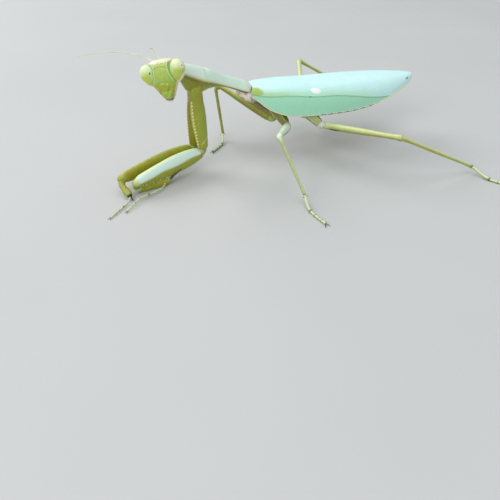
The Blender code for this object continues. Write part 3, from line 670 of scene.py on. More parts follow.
def head():
    """The head capsule with its face: the shield between the eyes, the clypeus and the upper lip."""
    angles = np.append(np.linspace(0, math.pi, 117), np.linspace(math.pi, 2 * math.pi, 38)[1:-1])
    c, s = np.cos(angles), np.sin(angles)
    squared = (np.abs(c) ** CAPSULE_SQUARENESS + np.abs(s) ** CAPSULE_SQUARENESS) ** (-1 / CAPSULE_SQUARENESS)
    facing = ramp(s, 0, 0.5)
    top, bottom = CAPSULE[-1][0], CAPSULE[0][0]

    def ring(v):
        wide, front, back = table(CAPSULE, v)[0]
        closing = 0.6 + 0.4 * math.sqrt(1 - (1 - min((v - bottom) / 0.3, 1)) ** 2)
        a = c * squared * wide * closing
        w = s * squared * np.where(s > 0, front, back) * closing + face_relief(a, v) * facing
        cheek = 0.7 * ramp(s, 0.72, 0.4) * ramp(s, -0.75, -0.2) * ramp(v, -4.3, -3.5) * ramp(v, 2.9, 2.3)
        return on_head(a, np.full(len(a), v), w), face_marks(a, v, facing, cheek)

    at = np.concatenate([top - 0.5 * (1 - np.cos(np.linspace(0.1, math.pi / 2, 9))),
                         np.arange(top - 0.56, bottom + 0.3, -0.065),
                         bottom + 0.3 * (1 - np.sin(np.linspace(0.1, math.pi / 2 - 0.1, 5)))])
    return loft(at, ring)


def eyeball(side, sign, false_pupil, pupil_size, keen, halo):
    """An oval compound eye, wider at the top, with the dark spot that seems to look at the viewer."""
    long_way = CROWNWARD * math.cos(EYE_LEAN) + ACROSS * sign * math.sin(EYE_LEAN)
    wide_way = ACROSS * math.cos(EYE_LEAN) - CROWNWARD * sign * math.sin(EYE_LEAN)
    centre = on_head(sign * EYE_OFFSET[0], *EYE_OFFSET[1:])
    c, s, _ = around(128)
    pupil_turn = math.atan2(false_pupil[0], math.sqrt(1 - false_pupil[0] ** 2 - false_pupil[1] ** 2))
    names = ("height", "inner", "rear", "pupil", "halo", "keen")

    def ring(lift):
        wide, deep, tall = c * math.cos(lift), s * math.cos(lift), math.sin(lift)
        pear = 1 + EYE_PEAR * tall
        middle = centre + long_way * EYE_RADII[1] * tall - wide_way * sign * EYE_BOW * max(-tall, 0) ** 2
        points = (middle + np.outer(wide * EYE_RADII[0] * pear, wide_way)
                  + np.outer(deep * EYE_RADII[2] * pear, FACING))
        # Distance from the false pupil over the eye, in pupil sizes
        along = tall - false_pupil[1]
        beside = (np.arctan2(wide, deep) - pupil_turn + math.pi) % (2 * math.pi) - math.pi
        near = np.hypot((beside * math.cos(lift) + 0.3 * sign * along) / pupil_size[0], along / pupil_size[1])
        outer, rim = wide * sign, 0.25 + 0.6 * ramp(tall, 0.5, -0.2)
        marks = (ramp(tall, -0.95, 0.95), 0.7 * ramp(-outer, 0.2, 0.65) * ramp(deep, -0.1, 0.3),
                 ramp(deep, rim, rim - 0.3) * ramp(outer, -0.2, 0.3), np.minimum(near, 5), halo, keen)
        return points, np.stack(np.broadcast_arrays(*marks), 1)

    lifts = np.linspace(-math.pi / 2 + 0.02, math.pi / 2 - 0.02, 96)
    piece(f"eyeball_{side}", [loft(lifts, ring)], names, EYE, "eye", f"eye_{side}")


def neck():
    line, _ = bent_line((PRO_REAR + PRO_FORWARD * (PRO_LENGTH - 1.6) - UP * 0.3,
                         PRO_REAR + PRO_FORWARD * (PRO_LENGTH + 1), HEAD_CENTRE + CROWNWARD * 0.3), 2)

    def paint(t, normals, angles):
        return marked(len(normals), mint=0.7 * ramp(normals[:, 2], -0.5, 0.3), cream=0.3)

    return segment(line, ((0, 1.1, 1.05), (0.5, 1, 1), (1, 1.1, 1.1)), paint, 40, 0.12, (0.5, 0.5),
                   form=lambda t, angles: 1 + 0.05 * math.sin(t * 40))


# ------------ legs

# Along each leg: where it leaves the body, its joints, and the ends of its claw or of its foot
FORE_LEGS = {
    "left": ((-14.6, -6.2, 21.6), (-12.8, -3, 4.7), (-29.45, -8.95, 3.35), (-29.65, -7.75, 1.1),
             (-22.6, -6.85, 1), (-19.1, -7.15, 3.6)),
    "right": ((-13.9, -3.5, 21.6), (-14.3, -0.8, 4.8), (-32.4, -6.3, 3.4), (-32.7, -7.4, 2.2),
              (-31.1, -11.2, 0.22)),
}
FORE_FEET = {
    "left": ((-23.2, -7.4, 0.8), (-24.6, -9.2, 0.7), (-27.2, -10.6, 0.8), (-29.8, -11.7, 0.8),
             (-31.8, -13.6, 0.5), (-33.3, -15, 0.22)),
    "right": ((-31.5, -10.1, 0.8), (-32.3, -11.6, 0.5), (-33.6, -13, 0.35), (-35.2, -14.6, 0.3),
              (-36.9, -16.2, 0.22)),
}
WALKING_LEGS = {
    "mid_left": ((4.5, -1.6, 13.3), (7.8, -4.1, 7.9), (-0.7, -18.9, 13.4), (3.2, -24.5, 1.7),
                 (2.7, -28.3, 0.6), (3.6, -33.9, 0.45)),
    "mid_right": ((4.5, 1.4, 13.3), (7.6, 0.9, 6.6), (-5.6, 10, 15.4), (-3.9, 10.6, 1.7),
                  (-5, 7.9, 0.6), (-8.6, 4.4, 0.45)),
    "hind_left": ((11, -1.8, 12.8), (15.6, -5.9, 7.8), (24.9, -24.9, 11.3), (44.8, -26.5, 1.4),
                  (46, -31.3, 0.6), (49.6, -36, 0.45)),
    "hind_right": ((11, 1.2, 12.8), (15.2, 2.6, 6.8), (21.7, 21.1, 14.2), (42, 25, 1.6),
                   (46, 27, 0.6), (51, 29, 0.45)),
}
# How mint and how brown each of them is. The far mid leg's brown in place of mint is partly its own golden
# olive and partly painted shade.
WALKING_COLOURS = {"mid_left": (0.95, 0), "mid_right": (0.05, 0.45), "hind_left": (0.3, 0.12),
                   "hind_right": (0.35, 0)}
# Half-widths along each limb segment: fraction of its length, across the limb, in its bending plane
FORE_COXA = ((0, 1.2, 1.6), (0.1, 1.15, 1.5), (0.2, 1.12, 1.5), (0.38, 1.1, 1.75), (0.75, 1, 1.6),
             (1, 0.9, 1.25))
FORE_TROCHANTER = ((0, 0.75, 0.95), (0.5, 0.85, 1.15), (1, 0.8, 1.1))
FORE_FEMUR = ((0, 0.9, 1.2), (0.12, 1, 1.75), (0.35, 1.05, 2.15), (0.7, 0.95, 1.75), (1, 0.85, 1.05))
NEAR_TIBIA = ((0, 0.78, 0.95), (0.15, 0.8, 1.15), (0.4, 0.76, 1.2), (0.62, 0.6, 0.9), (0.75, 0.28, 0.32),
              (1, 0.08, 0.08))
FAR_TIBIA = ((0, 0.75, 0.82), (0.3, 0.6, 0.7), (0.75, 0.5, 0.58), (0.82, 0.24, 0.26), (1, 0.06, 0.06))
TROCHANTER = ((0, 0.78, 0.8), (0.5, 0.95, 1), (1, 0.75, 0.8))
# The same of the coxa, femur and tibia of a walking leg
MID_WIDTHS = (((0, 1.5, 1.6), (0.5, 1.3, 1.5), (0.85, 1.05, 1.15), (1, 0.9, 0.95)),
              ((0, 0.8, 0.85), (0.15, 0.85, 0.95), (0.5, 0.76, 0.82), (0.88, 0.56, 0.58), (1, 0.66, 0.7)),
              ((0, 0.55, 0.55), (0.1, 0.42, 0.44), (0.5, 0.37, 0.39), (0.88, 0.33, 0.35), (1, 0.38, 0.4)))
HIND_WIDTHS = (((0, 1.6, 1.8), (0.5, 1.4, 1.6), (0.85, 1.05, 1.2), (1, 0.9, 1)),
               ((0, 0.78, 0.82), (0.15, 0.8, 0.88), (0.5, 0.72, 0.78), (0.88, 0.58, 0.6), (1, 0.7, 0.74)),
               ((0, 0.62, 0.62), (0.08, 0.48, 0.5), (0.5, 0.42, 0.44), (0.9, 0.36, 0.38), (1, 0.42, 0.44)))
FORE_BEND, WALKING_BEND = 1.5, 1.1       # radius of a leg's centre line at a joint
KNEE_OVERLAP = 0.45             # how far a walking leg's femur reaches past the knee
FOOT_JOINTS = (0, 0.46, 0.63, 0.76, 0.85, 1)    # ends of its five joints, as fractions of a foot's length
WALKING_FOOT, FORE_FOOT = 0.36, 0.19     # radius of a foot
COXA_DENTICLES, FEMUR_SPINES, TIBIA_SPINES = 14, 13, 11     # in each row


def leg_paint(mint=0, cream=0, brown=0, knee=0, underside_streak=0, ring=0, ring_end=0.14):
    """Marks of a leg's length. Mint lies on its upper side and brown below; the brown is partly the leg's own
    colour and partly a painted reflection of warm light from the ground. A knee has a dark edge, a dark streak
    can lie beneath near the near end, and a ring is a pale band with dark wrinkles at the near end."""
    def paint(t, normals, angles):
        up = normals[:, 2]
        band = ring * ramp(t, ring_end, ring_end - 0.1)
        wrinkles = ramp(np.sin(70 * t + 2 * np.sin(3 * angles)), 0.3, 0.9) * band
        # A dark streak beneath the leg, near its near end
        streak = underside_streak * ramp(np.abs(t - 0.17), 0.075, 0.05) * ramp(up, -0.1, -0.5)
        return marked(len(up), mint=mint * ramp(up, -0.5, 0.5) + 0.5 * band, blush=0.5 * band,
                      cream=cream * hill(up, 0.85, 0.35), brown=brown * ramp(up, 0.5, -0.4),
                      dark=0.6 * knee * ramp(t, 0.94, 0.985) + 0.95 * streak + 0.7 * wrinkles)
    return paint


def on_floor(part):
    """Flattens what would lie below the floor."""
    part["points"][:, 2] = np.maximum(part["points"][:, 2], 0)
    return part


def spine(root, way, length, radius, droop=0, dark_from=0.45):
    """A thorn that curves down. Its mark runs from 0 at the root to 1 on the dark tip."""
    way = np.asarray(way, float)
    across = unit(np.cross(way, ASKEW))
    other = np.cross(way, across)
    c, s, _ = around(10)

    def ring(t):
        middle = root + t * length * way - t**2 * length * droop * UP
        middle[2] = max(middle[2], 0.06)
        thick = min(radius * (1 - t) ** 0.8 + 0.012, middle[2])
        dark = float(ramp(t, dark_from - 0.12, dark_from + 0.12))
        return middle + np.outer(c * thick, across) + np.outer(s * thick, other), np.full((len(c), 1), dark)

    return loft(np.linspace(0, 1, 9), ring)


def foot(knots, radius, spines):
    """Five joints with pads below them, and a pair of claws."""
    line = curve(knots)
    length = line[1][-1]

    def paint(t, normals, angles):
        return marked(len(normals), mint=0.55 * ramp(normals[:, 2], -0.3, 0.6), cream=0.1,
                      dark=0.75 * ramp(t, 0.86, 0.97))

    made = []
    for start, end in zip(FOOT_JOINTS, FOOT_JOINTS[1:]):
        slim = radius * (0.8 if end < 1 else 0.7)
        widths = ((0, slim, slim), (0.7, slim * 1.05, slim), (1, radius * 1.2, radius * 1.02))
        ends = max(length * start - 0.05, 0), min(length * end + 0.05, length)
        made.append(on_floor(segment(line, widths, paint, 18, 0.12, (0.1, 0.16), *ends)))
    (tip,), (direction,) = read(line, length - 0.1)
    side = unit(np.cross(direction, UP))
    for sign in (-1, 1):
        way = unit(direction + side * sign * 0.55 + UP * 0.15)
        long = 0.95 * radius / WALKING_FOOT
        spines.append(spine(tip + side * sign * radius * 0.4, way, long, radius * 0.26, 0.55, 0.2))
    return made


def walking_leg(name, spines):
    joints, (mint, brown) = WALKING_LEGS[name], WALKING_COLOURS[name]
    hind, near = name.startswith("hind"), name.endswith("left")
    coxa, femur, tibia = HIND_WIDTHS if hind else MID_WIDTHS
    line, at = bent_line(joints, WALKING_BEND)
    across = unit(np.cross(np.subtract(joints[2], joints[1]), np.subtract(joints[3], joints[2])))
    pale_joint = float(hind and near)

    def knee(t, angles):
        """Lobes on both sides at the far end of the femur."""
        return 1 + 0.10 * ramp(t, 0.93, 0.985) * np.cos(angles) ** 2 - 0.04 * hill(t, 0.9, 0.03)

    def ridged(t, angles):
        return 1 + 0.05 * np.cos(3 * angles) * ramp(t, 0, 0.1) * ramp(t, 1, 0.9)

    def keeled(t, angles):
        """Long ridges down the coxa."""
        return 1 + 0.07 * np.cos(5 * angles + 0.6) * ramp(t, 0, 0.2)

    # The mid coxae are browner and darker than the hind ones: partly their own colour, partly painted shade
    # under the chest.
    def coxa_paint(t, normals, angles):
        ridge = ramp(np.cos(5 * angles + 0.6), 0.90, 0.99)
        return marked(len(angles), brown=(0.1 if hind else 0.45) * (1 - ridge),
                      mint=(0.25 if hind and near else 0.1) * ramp(t, 0.1, 0.5),
                      cream=0.5 * ridge * ramp(t, 0.05, 0.2), dark=(0.066 if hind else 0.22) * (1 - ridge))

    joint_paint = leg_paint(0.5 * mint + 0.15, knee=0.4, ring=pale_joint, ring_end=1.2)
    femur_paint = leg_paint(mint, 0.3, brown, 0.3, pale_joint, 0.35 * pale_joint)
    tibia_paint = leg_paint(0.3 * mint + 0.1, 0.6, 0.5 * brown, 1)
    made = [
        segment(line, coxa, coxa_paint, 50, 0.2, (0.5, 0.7), 0, at[0] - 0.1, across, form=keeled),
        segment(line, TROCHANTER, joint_paint, 32, 0.12, (0.4, 0.4), at[0] - 0.9, at[0] + 1.3, across),
        segment(line, femur, femur_paint, 30, 0.24, (0.5, 0.55), at[0] + 0.85, at[1] + KNEE_OVERLAP, across,
                2.2, knee),
        segment(line, tibia, tibia_paint, 24, 0.25, (0.35, 0.25), at[1] - KNEE_OVERLAP * 0.6, at[2] + 0.12,
                across, form=ridged),
    ]
    # The foot starts inside the tibia's end and runs along the floor
    (ankle,), _ = read(line, at[2] + 0.05)
    made += foot([ankle, joints[4] - 0.2 * UP, joints[5] - 0.14 * UP], WALKING_FOOT, spines)
    (ankle,), (direction,) = read(line, at[2] - 0.15)
    side = unit(np.cross(direction, UP))
    spines += [spine(ankle + side * sign * 0.34, direction + side * sign * 0.5, 0.75, 0.09)
               for sign in (-1, 1)]
    return made


def fore_leg(side, spines):
    """Coxa, trochanter, femur and tibia with their rows of spines, and the thin foot."""
    joints, near = FORE_LEGS[side], side == "left"
    line, at = bent_line(joints, FORE_BEND)
    across = unit(np.cross(UP, np.subtract(joints[2], joints[1])))
    outward = across * math.copysign(1, across[1]) * (-1 if near else 1)
    knee_at, end = (at[1] + at[2]) / 2, line[1][-1]
    front = unit((-1, -0.2, 0))
    beaded = unit((-1, -0.75, 0)) if near else front        # the side with the row of denticles
    tibia = NEAR_TIBIA if near else FAR_TIBIA

    # In all these paints the far leg is browner and less mint than the near one: partly the olive of the inner
    # face it shows, partly painted shade.
    def coxa_paint(t, normals, angles):
        forward, to_row = normals @ front, normals @ beaded
        slanting = hill(t, 0.86 + 0.06 * forward, 0.012) * ramp(t, 0.7, 0.8) * near
        cream = 0.6 * ramp(to_row, 0.95, 0.99) * ramp(t, 0.15, 0.25) + 0.7 * slanting * ramp(to_row, 0.9, 0.6)
        return marked(len(normals), cream=cream,
                      mint=(0.8 if near else 0.2) * ramp(-forward, 0.82, 0.99) * ramp(t, 0.15, 0.3),
                      fresh=0.45 * near * ramp(t, 0.15, 0.4) * ramp(to_row, 0.9, 0.5),
                      brown=(0 if near else 0.3) + 0.15 * ramp(forward, 0.6, 0.95),
                      dark=0.85 * ramp(t, 0.95, 0.985) * ramp(forward, -0.2, 0.4))

    def coxa_form(t, angles):
        """Flat faces down the coxa, and folds where it leaves the chest."""
        folds = 0.05 * np.cos(13 * angles + 9 * t) * ramp(t, 0.03, 0.1) * ramp(t, 0.26, 0.18)
        return 1 + 0.04 * np.cos(4 * angles) * ramp(t, 0.2, 0.3) + folds

    def femur_paint(t, normals, angles):
        up, outer = normals[:, 2], normals @ outward
        lower = 0.12 - 0.3 * ramp(t, 0.55, 0.8) + 0.08 * np.sin(11 * t)
        face = ramp(outer, -0.2, 0.2) * ramp(up, lower - 0.1, lower + 0.12)
        stripe = hill(outer, 0.62, 0.08) * ramp(up, 0, 0.4) * ramp(t, 1, 0.85) * near
        knee = hill(t, 0.985, 0.02) * ramp(up, -0.3, -0.8)
        return marked(len(up), mint=(1 if near else 0.12) * face * ramp(t, 0.97, 0.90), fresh=0.25 * near,
                      cream=(0.7 if near else 0.4) * hill(up, 1, 0.05) + 0.3 * hill(t, 0.945, 0.02),
                      dark=0.5 * ramp(t, 0.05, 0) + 0.1 * stripe + 0.6 * knee, brown=0 if near else 0.15)

    def femur_form(t, angles):
        crests = hill(np.sin(angles), 1, 0.03) + hill(np.sin(angles), -1, 0.03)
        return 1 + 0.06 * crests - 0.05 * hill(t, 0.93, 0.02)

    def tibia_form(t, angles):
        ripples = np.sin(40 * t) * np.sin(3 * angles + 9 * t)
        return 1 + 0.05 * ripples * ramp(t, 0.05, 0.15) * ramp(t, 0.7, 0.6)

    def tibia_paint(t, normals, angles):
        up = normals[:, 2]
        return marked(len(up), mint=0.6 * near * hill(t, 0.10, 0.03), cream=0.2 * ramp(up, 0.2, 0.9),
                      dark=ramp(t, 0.70, 0.76) + 0.8 * hill(t, 0.02, 0.03) * ramp(up, 0, -0.5),
                      brown=0 if near else 0.25)

    joint_paint = leg_paint(0.35 if near else 0.1, 0.3, knee=0.8)
    made = [
        segment(line, FORE_COXA, coxa_paint, 40, 0.2, (0.6, 0.6), 0, at[0] - 0.5, across, 2.3, coxa_form),
        segment(line, FORE_TROCHANTER, joint_paint, 30, 0.12, (0.35, 0.35), at[0] - 0.9, at[0] + 0.9, across),
        segment(line, FORE_FEMUR, femur_paint, 40, 0.19, (0.6, 0.5), at[0] + 0.3, knee_at + 0.1, across, 2.4,
                femur_form),
        on_floor(segment(line, tibia, tibia_paint, 32, 0.14, (0.4, 0.1), knee_at - 0.5, end, across,
                         form=tibia_form)),
        *foot(FORE_FEET[side], FORE_FOOT, spines),
    ]
    # Denticles down the coxa
    stops = np.linspace(3.6, at[0] - 2.4, COXA_DENTICLES)
    tall, thick = (0.42, 0.17) if near else (0.24, 0.09)
    sideways = beaded @ across
    for k, (p, (wide, deep)) in enumerate(zip(read(line, stops)[0], table(FORE_COXA, stops / at[0]))):
        reach = 1 / math.hypot(sideways / wide, math.sqrt(1 - sideways**2) / deep)
        spines.append(spine(p + beaded * reach, beaded, tall + 0.08 * (k % 2), thick, 0.12, dark_from=2))
    # Two rows under the femur: one of longer and shorter spines by turns, the other of a few
    stops = np.linspace(at[0] + 6, knee_at - 1.8, FEMUR_SPINES)
    sizes = table(FORE_FEMUR, (stops - at[0]) / (knee_at - at[0]))
    for k, (p, d, (wide, deep)) in enumerate(zip(*read(line, stops), sizes)):
        for row, tall in ((-1, 0.6 * (k % 3 == 1)), (1, 0.7 if k % 2 else 0.45)):
            if tall:
                root = p + across * row * wide * 0.55 - UP * deep * 0.8
                way = unit(across * row * 0.35 + d * 0.3 - UP)
                spines.append(spine(root, way, tall, 0.11, dark_from=0.65))
    # Two rows along the tibia
    stops = np.linspace(knee_at + 2.4, (end + knee_at) / 2 + 1.8, TIBIA_SPINES)
    for p, d in zip(*read(line, np.minimum(stops, end - 3.8))):
        for row in (-1, 1):
            way = unit(d * 0.8 + across * row * 0.45 + UP * 0.8)
            spines.append(spine(p + across * row * 0.42 + UP * 0.35, way, 0.55, 0.08))
    return made


# ------------ wings

WING_START, WING_END = 0.2, 42.9
WING_LEAD, LEAD_END = 1.2, 6    # how far the wing's side starts in front of its crown, and where that ends
# Along X: half-width, height of the rim, height of the crown
WING_PLAN = ((WING_START, 3.8, 16.2, 17.9), (1.2, 4.15, 15.1, 17.95), (2.6, 4.75, 13.6, 17.95),
             (6, 5.5, 11.6, 17.9), (10, 5.9, 10.8, 17.6), (15, 6.2, 10.4, 17.2), (20, 6.3, 10.2, 16.95),
             (26, 6.1, 10.3, 16.65), (30, 5.7, 10.8, 16.4), (35, 4.8, 11.8, 16), (39, 3.4, 12.8, 15.6),
             (41.5, 2.1, 13.5, 15.35), (WING_END, 1, 13.9, 15.1))
# Along X: how far the upper wing reaches past the middle of the back
WING_OVERLAP = ((WING_START, 1.7), (6, 2.6), (12, 3.3), (30, 3), (38, 1.8), (WING_END, 0.2))
UNDER_SHARE = 0.7               # how much of that the lower wing has
WING_SQUARENESS = 3
WING_THICKNESS = 0.22
WING_GAP = 0.12                 # between the two wings where they overlap
# Along X: how high between rim and crown the radial vein runs
RADIAL_VEIN = ((WING_START, 0.35), (1.2, 0.48), (2.6, 0.58), (5, 0.65), (14, 0.64), (20, 0.61), (25.2, 0.49),
               (31.9, 0.21), (35.5, 0.03), (WING_END, 0.02))
VEIN_RISE = 0.16                # how fast the main veins above it climb towards the crown
STIGMA = (14.3, 1.4)            # X, and distance above the radial vein, of the white spot
STIGMA_SIZE = (1.32, 0.76)
HIND_WING_DROP, HIND_WING_THICKNESS = 0.95, 0.3     # below the fore wing's outside


def arch(plan, angle, inset):
    """Points of the wing's cross-section: angle 90 degrees at the rim, 0 at the crown."""
    wide, rim, crown = plan
    power = 2 / WING_SQUARENESS
    high = crown - rim
    y = wide * np.exp(-inset / wide) * np.sign(np.sin(angle)) * np.abs(np.sin(angle)) ** power
    return y, rim + high * np.exp(-inset / high) * np.abs(np.cos(angle)) ** power


def lead(x, y):
    """How far a point of the wing lies in front of its station: the shoulders reach past the crown."""
    share = max(LEAD_END - x, 0) / (LEAD_END - WING_START)
    return WING_LEAD * share**1.5 * ramp(np.abs(y), 2, 3.4)


def wing_marks(x, wanted, above, radius, spot):
    """Marks at a station: wanted is the distance from the rim, and above that from the radial vein."""
    double = hill(wanted, 0.26, 0.05) * ramp(x, 20, 12)
    lobe = np.hypot((x - 0.9) / 1.2, (above - 1) / 0.85)
    dot = np.hypot((x - 12.6) / 0.35, above / 0.16)
    tip_spot = np.hypot((x - 40.4) / 0.55, (wanted - 1.56 + 0.3 * (x - 40.4)) / 0.22)
    # A painted shadow: a ragged dark line along the lowest edge of the rim, for the shade between the wing and
    # the abdomen.
    ragged = 0.13 + 0.07 * math.sin(2.9 * x) + 0.05 * math.sin(7.3 * x + 1)
    rim_shadow = ramp(wanted, ragged + 0.05, ragged - 0.02) * ramp(x, 13, 16.5) * ramp(x, 32, 29.5)
    dark = 0.7 * ramp(dot, 1.2, 0.5) + 0.75 * ramp(tip_spot, 1.3, 0.6) + 0.95 * rim_shadow + 0.35 * double
    return {
        "field": ramp(above, -0.05, 0.05),
        "along": x,
        "above": above,
        "near_vein": hill(above, 0, 1.5) * ramp(x, 36, 24),
        "callus": np.clip(ramp(lobe, 1.15, 0.75) + 0.45 * hill(above, 0.5, 0.6) * ramp(x, 11, 2), 0, 1),
        "rim": ramp(wanted, 0.36, 0.22) * (1 - 0.6 * double),
        "radius": 0.7 * radius,
        "spot": np.minimum(spot, 3),
        "dark": np.clip(dark + 0.25 * hill(lobe, 1.12, 0.12), 0, 1),
    }


def wing(side, sign, under):
    """A leathery fore wing. The upper one lies over the other along the back."""
    low_count, high_count = 40, 58      # points from the rim to the radial vein, and from there on
    low_fine, high_fine = 60, 160       # the same on the finer arch that they are read from
    names = []

    def ring(x):
        plan, (past,), (vein_share,) = (table(knots, x)[0] for knots in (WING_PLAN, WING_OVERLAP, RADIAL_VEIN))
        reach = past * (UNDER_SHARE if under else 1)
        inside = math.asin(min(reach / plan[0], 0.98) ** (WING_SQUARENESS / 2))
        vein_angle = math.acos(max(vein_share, 0.001) ** (WING_SQUARENESS / 2))
        fine = np.append(np.linspace(math.pi / 2, vein_angle, low_fine),
                         np.linspace(vein_angle, -inside, high_fine)[1:])
        arc = with_lengths(np.stack(arch(plan, fine, 0), 1))[1]
        vein_arc = arc[low_fine - 1]
        wanted = np.append(np.linspace(0, vein_arc, low_count),
                           np.linspace(vein_arc, arc[-1], high_count)[1:])
        angles = np.interp(wanted, arc, fine)
        above = wanted - vein_arc
        y, _ = arch(plan, angles, 0)
        drop = (WING_THICKNESS + WING_GAP) * (1 - np.clip((y - past - 0.35) / 0.9, 0, 1)) * under
        from_tip = ramp(x, WING_END, WING_END - 2)
        radius = hill(above, 0, 0.12) * ramp(vein_share, 0.03, 0.14) * from_tip
        sweep = above - VEIN_RISE * (x - 4)
        main = sum(hill(sweep, 1.9 * k, 0.13) for k in range(-3, 7)) * (above > 0.4)
        spot_x = (x - STIGMA[0]) / STIGMA_SIZE[0]
        narrowing = 1 - 0.4 * max(spot_x, 0)
        spot = np.hypot(spot_x, (above - STIGMA[1] + 0.12 * spot_x) / (STIGMA_SIZE[1] * narrowing))
        lift = (0.07 * radius + 0.08 * hill(wanted, 0.12, 0.16) + 0.03 * main * from_tip
                + 0.05 * ramp(spot, 1.08, 0.9))
        faces = []
        for inset in (drop - lift, drop + WING_THICKNESS):
            across, height = arch(plan, angles, inset)
            faces.append(np.stack([x - lead(x, y), sign * across, height], 1))
        named = wing_marks(x, wanted, above, radius, spot)
        names[:] = named
        mark = np.stack(np.broadcast_arrays(*named.values()), 1)
        return np.concatenate([faces[0], faces[1][::-1]]), np.concatenate([mark, mark[::-1]])

    stations = np.concatenate([np.linspace(WING_START, 2.2, 12)[:-1], np.linspace(2.2, 41.4, 290),
                               np.linspace(41.4, WING_END, 16)[1:]])
    piece(f"wing_{side}", [loft(stations, ring)], names, WING, "wing", f"tegmen_{side}")


def hind_wings():
    """The hind wings folded like a fan into a thin bundle under the fore wings."""
    def ring(x):
        wide, rim, crown = table(WING_PLAN, x)[0]
        half = min(2.3, 0.45 * (wide - HIND_WING_DROP))
        y = np.linspace(-half, half, 41)
        share = np.abs(y) / (wide - HIND_WING_DROP)
        z = rim + (crown - rim - HIND_WING_DROP) * (1 - share**WING_SQUARENESS) ** (1 / WING_SQUARENESS)
        top = np.stack([np.full_like(y, x), y, z + 0.09 * np.sin(y * 14)], 1)
        return np.concatenate([top, (top - UP * HIND_WING_THICKNESS)[::-1]]), np.zeros((2 * len(y), 1))

    fan = loft(np.linspace(7.5, 40.6, 120), ring)
    piece("wing_hind", [fan], ("fold",), HIND_WING, "hind_wing", "hindwings")


# ------------ feelers and mouth

ANTENNAE = {
    "left": ((-20.9, -9.2, 26.8), (-21.2, -8.7, 27.8), (-21.8, -7.5, 29), (-22.4, -6.8, 29.9),
             (-23, -7.8, 30.3), (-23.6, -9.9, 30.6), (-24.2, -12.5, 31)),
    "right": ((-22, -8.9, 26.7), (-22.6, -8.1, 27.8), (-24, -7.2, 28.6), (-26.6, -6.1, 29.3),
              (-29.6, -5.3, 29.7), (-32.9, -4.7, 29.7), (-36.2, -4.3, 29.4)),
}
FEELER_BEAD = 0.34              # length of one joint of a feeler
# On the head: the jaws, the lower lip, the two long palps and the two short ones
JAW = ((0.72, -3.9, 0.35), (0.5, -4.25, 0.5), (0.06, -4.4, 0.5))
LOWER_LIP = ((0, -4, 0), (0, -4.4, 0.1), (0, -4.7, 0.15))
PALPS = (((0.8, -3.7, 0.3), (0.9, -4.1, 0.45), (0.65, -4.5, 0.55), (0.25, -4.75, 0.6)),
         ((-0.8, -3.6, 0.3), (-0.95, -4, 0.45), (-0.8, -4.35, 0.5), (-0.45, -4.55, 0.5)),
         ((0.2, -4.4, 0.2), (0.25, -4.65, 0.35), (0.1, -4.88, 0.5)),
         ((-0.2, -4.4, 0.2), (-0.3, -4.6, 0.35), (-0.22, -4.8, 0.45)))
PALP_JOINTS = 4


def feeler(side):
    """Two thick joints and then many short ones that grow thinner."""
    line = curve(ANTENNAE[side], 200)
    count = int(line[1][-1] / FEELER_BEAD)
    beaded = beads(count, 0.12)

    def form(t, angles):
        return beaded(t, angles) + 0.4 * ramp(t, 0.2, 0.16)

    paint = one_mark(lambda t: 0.6 * (1 - abs(math.sin(math.pi * t * count))) ** 3)
    widths = ((0, 0.12, 0.12), (0.2, 0.10, 0.10), (1, 0.055, 0.055))
    part = segment(line, widths, paint, 12, 0.06, (0.1, 0.08), across=ASKEW, form=form)
    piece(f"feeler_{side}", [part], ("joint",), FEELER, "feeler", f"antenna_{side}")


def mouth():
    """Jaws that close below the upper lip, the lower lip, and two pairs of jointed palps held close."""
    jaw_paint = one_mark(lambda t: ramp(t, 0, 0.3))
    palp_paint = one_mark(lambda t: 0.12 * ramp(math.sin(math.pi * PALP_JOINTS * t), 0.3, 0))

    def along(knots):
        return curve([on_head(*knot) for knot in knots])

    jaw, lip, palp = (((0, 0.16, 0.32), (0.6, 0.15, 0.3), (1, 0.08, 0.14)),
                      ((0, 0.55, 0.45), (0.5, 0.48, 0.36), (1, 0.28, 0.22)),
                      ((0, 0.11, 0.11), (0.8, 0.12, 0.12), (1, 0.1, 0.1)))
    parts = [segment(along([(sign * a, v, w) for a, v, w in JAW]), jaw, jaw_paint, 24, 0.06, (0.2, 0.15))
             for sign in (-1, 1)]
    parts.append(segment(along(LOWER_LIP), lip, jaw_paint, 28, 0.06, (0.2, 0.25), across=ACROSS))
    parts += [segment(along(knots), palp, palp_paint, 14, 0.05, (0.1, 0.12), form=beads(PALP_JOINTS, 0.15))
              for knots in PALPS]
    piece("mouth", parts, ("jaw",), MOUTH_PARTS, "mouth", "mouthparts")


def ocelli():
    """Three small simple eyes between the feelers."""
    parts = []
    paint = one_mark(lambda t: ramp(t, 0.6, 0.9))
    for a, v in ((-0.3, 2.72), (0.38, 2.70), (0.05, 2.5)):
        base = table(CAPSULE, v)[0][1] + 0.02
        line = curve([on_head(a, v, base + w) for w in (-0.2, 0, 0.08)])
        parts.append(segment(line, ((0, 0.09, 0.09), (1, 0.09, 0.09)), paint, 16, 0.05, (0.05, 0.08)))
    piece("ocelli", parts, ("tip",), OCELLI, "eye")


# ------------ the whole

SKIN, WING, EYE = skin_material(), wing_material(), eye_material()
HIND_WING = plain_material("hind_wing", (0.70, 0.76, 0.55), (0.62, 0.70, 0.45), 0.45)
FEELER = plain_material("feeler", (0.90, 0.94, 0.80), (0.80, 0.86, 0.62), 0.45, 0.8,
                        "joint", (0.55, 0.55, 0.36))
SPINE = plain_material("spine", (0.95, 0.95, 0.68), (0.88, 0.90, 0.52), 0.3, 1.5, "tip", (0.07, 0.05, 0.03))
MOUTH_PARTS = plain_material("mouth", (0.93, 0.92, 0.84), (0.88, 0.86, 0.72), 0.35, 2,
                             "jaw", (0.34, 0.19, 0.08))
OCELLI = plain_material("ocelli", (0.66, 0.66, 0.36), (0.58, 0.56, 0.28), 0.2, 2, "tip", (0.54, 0.49, 0.24))

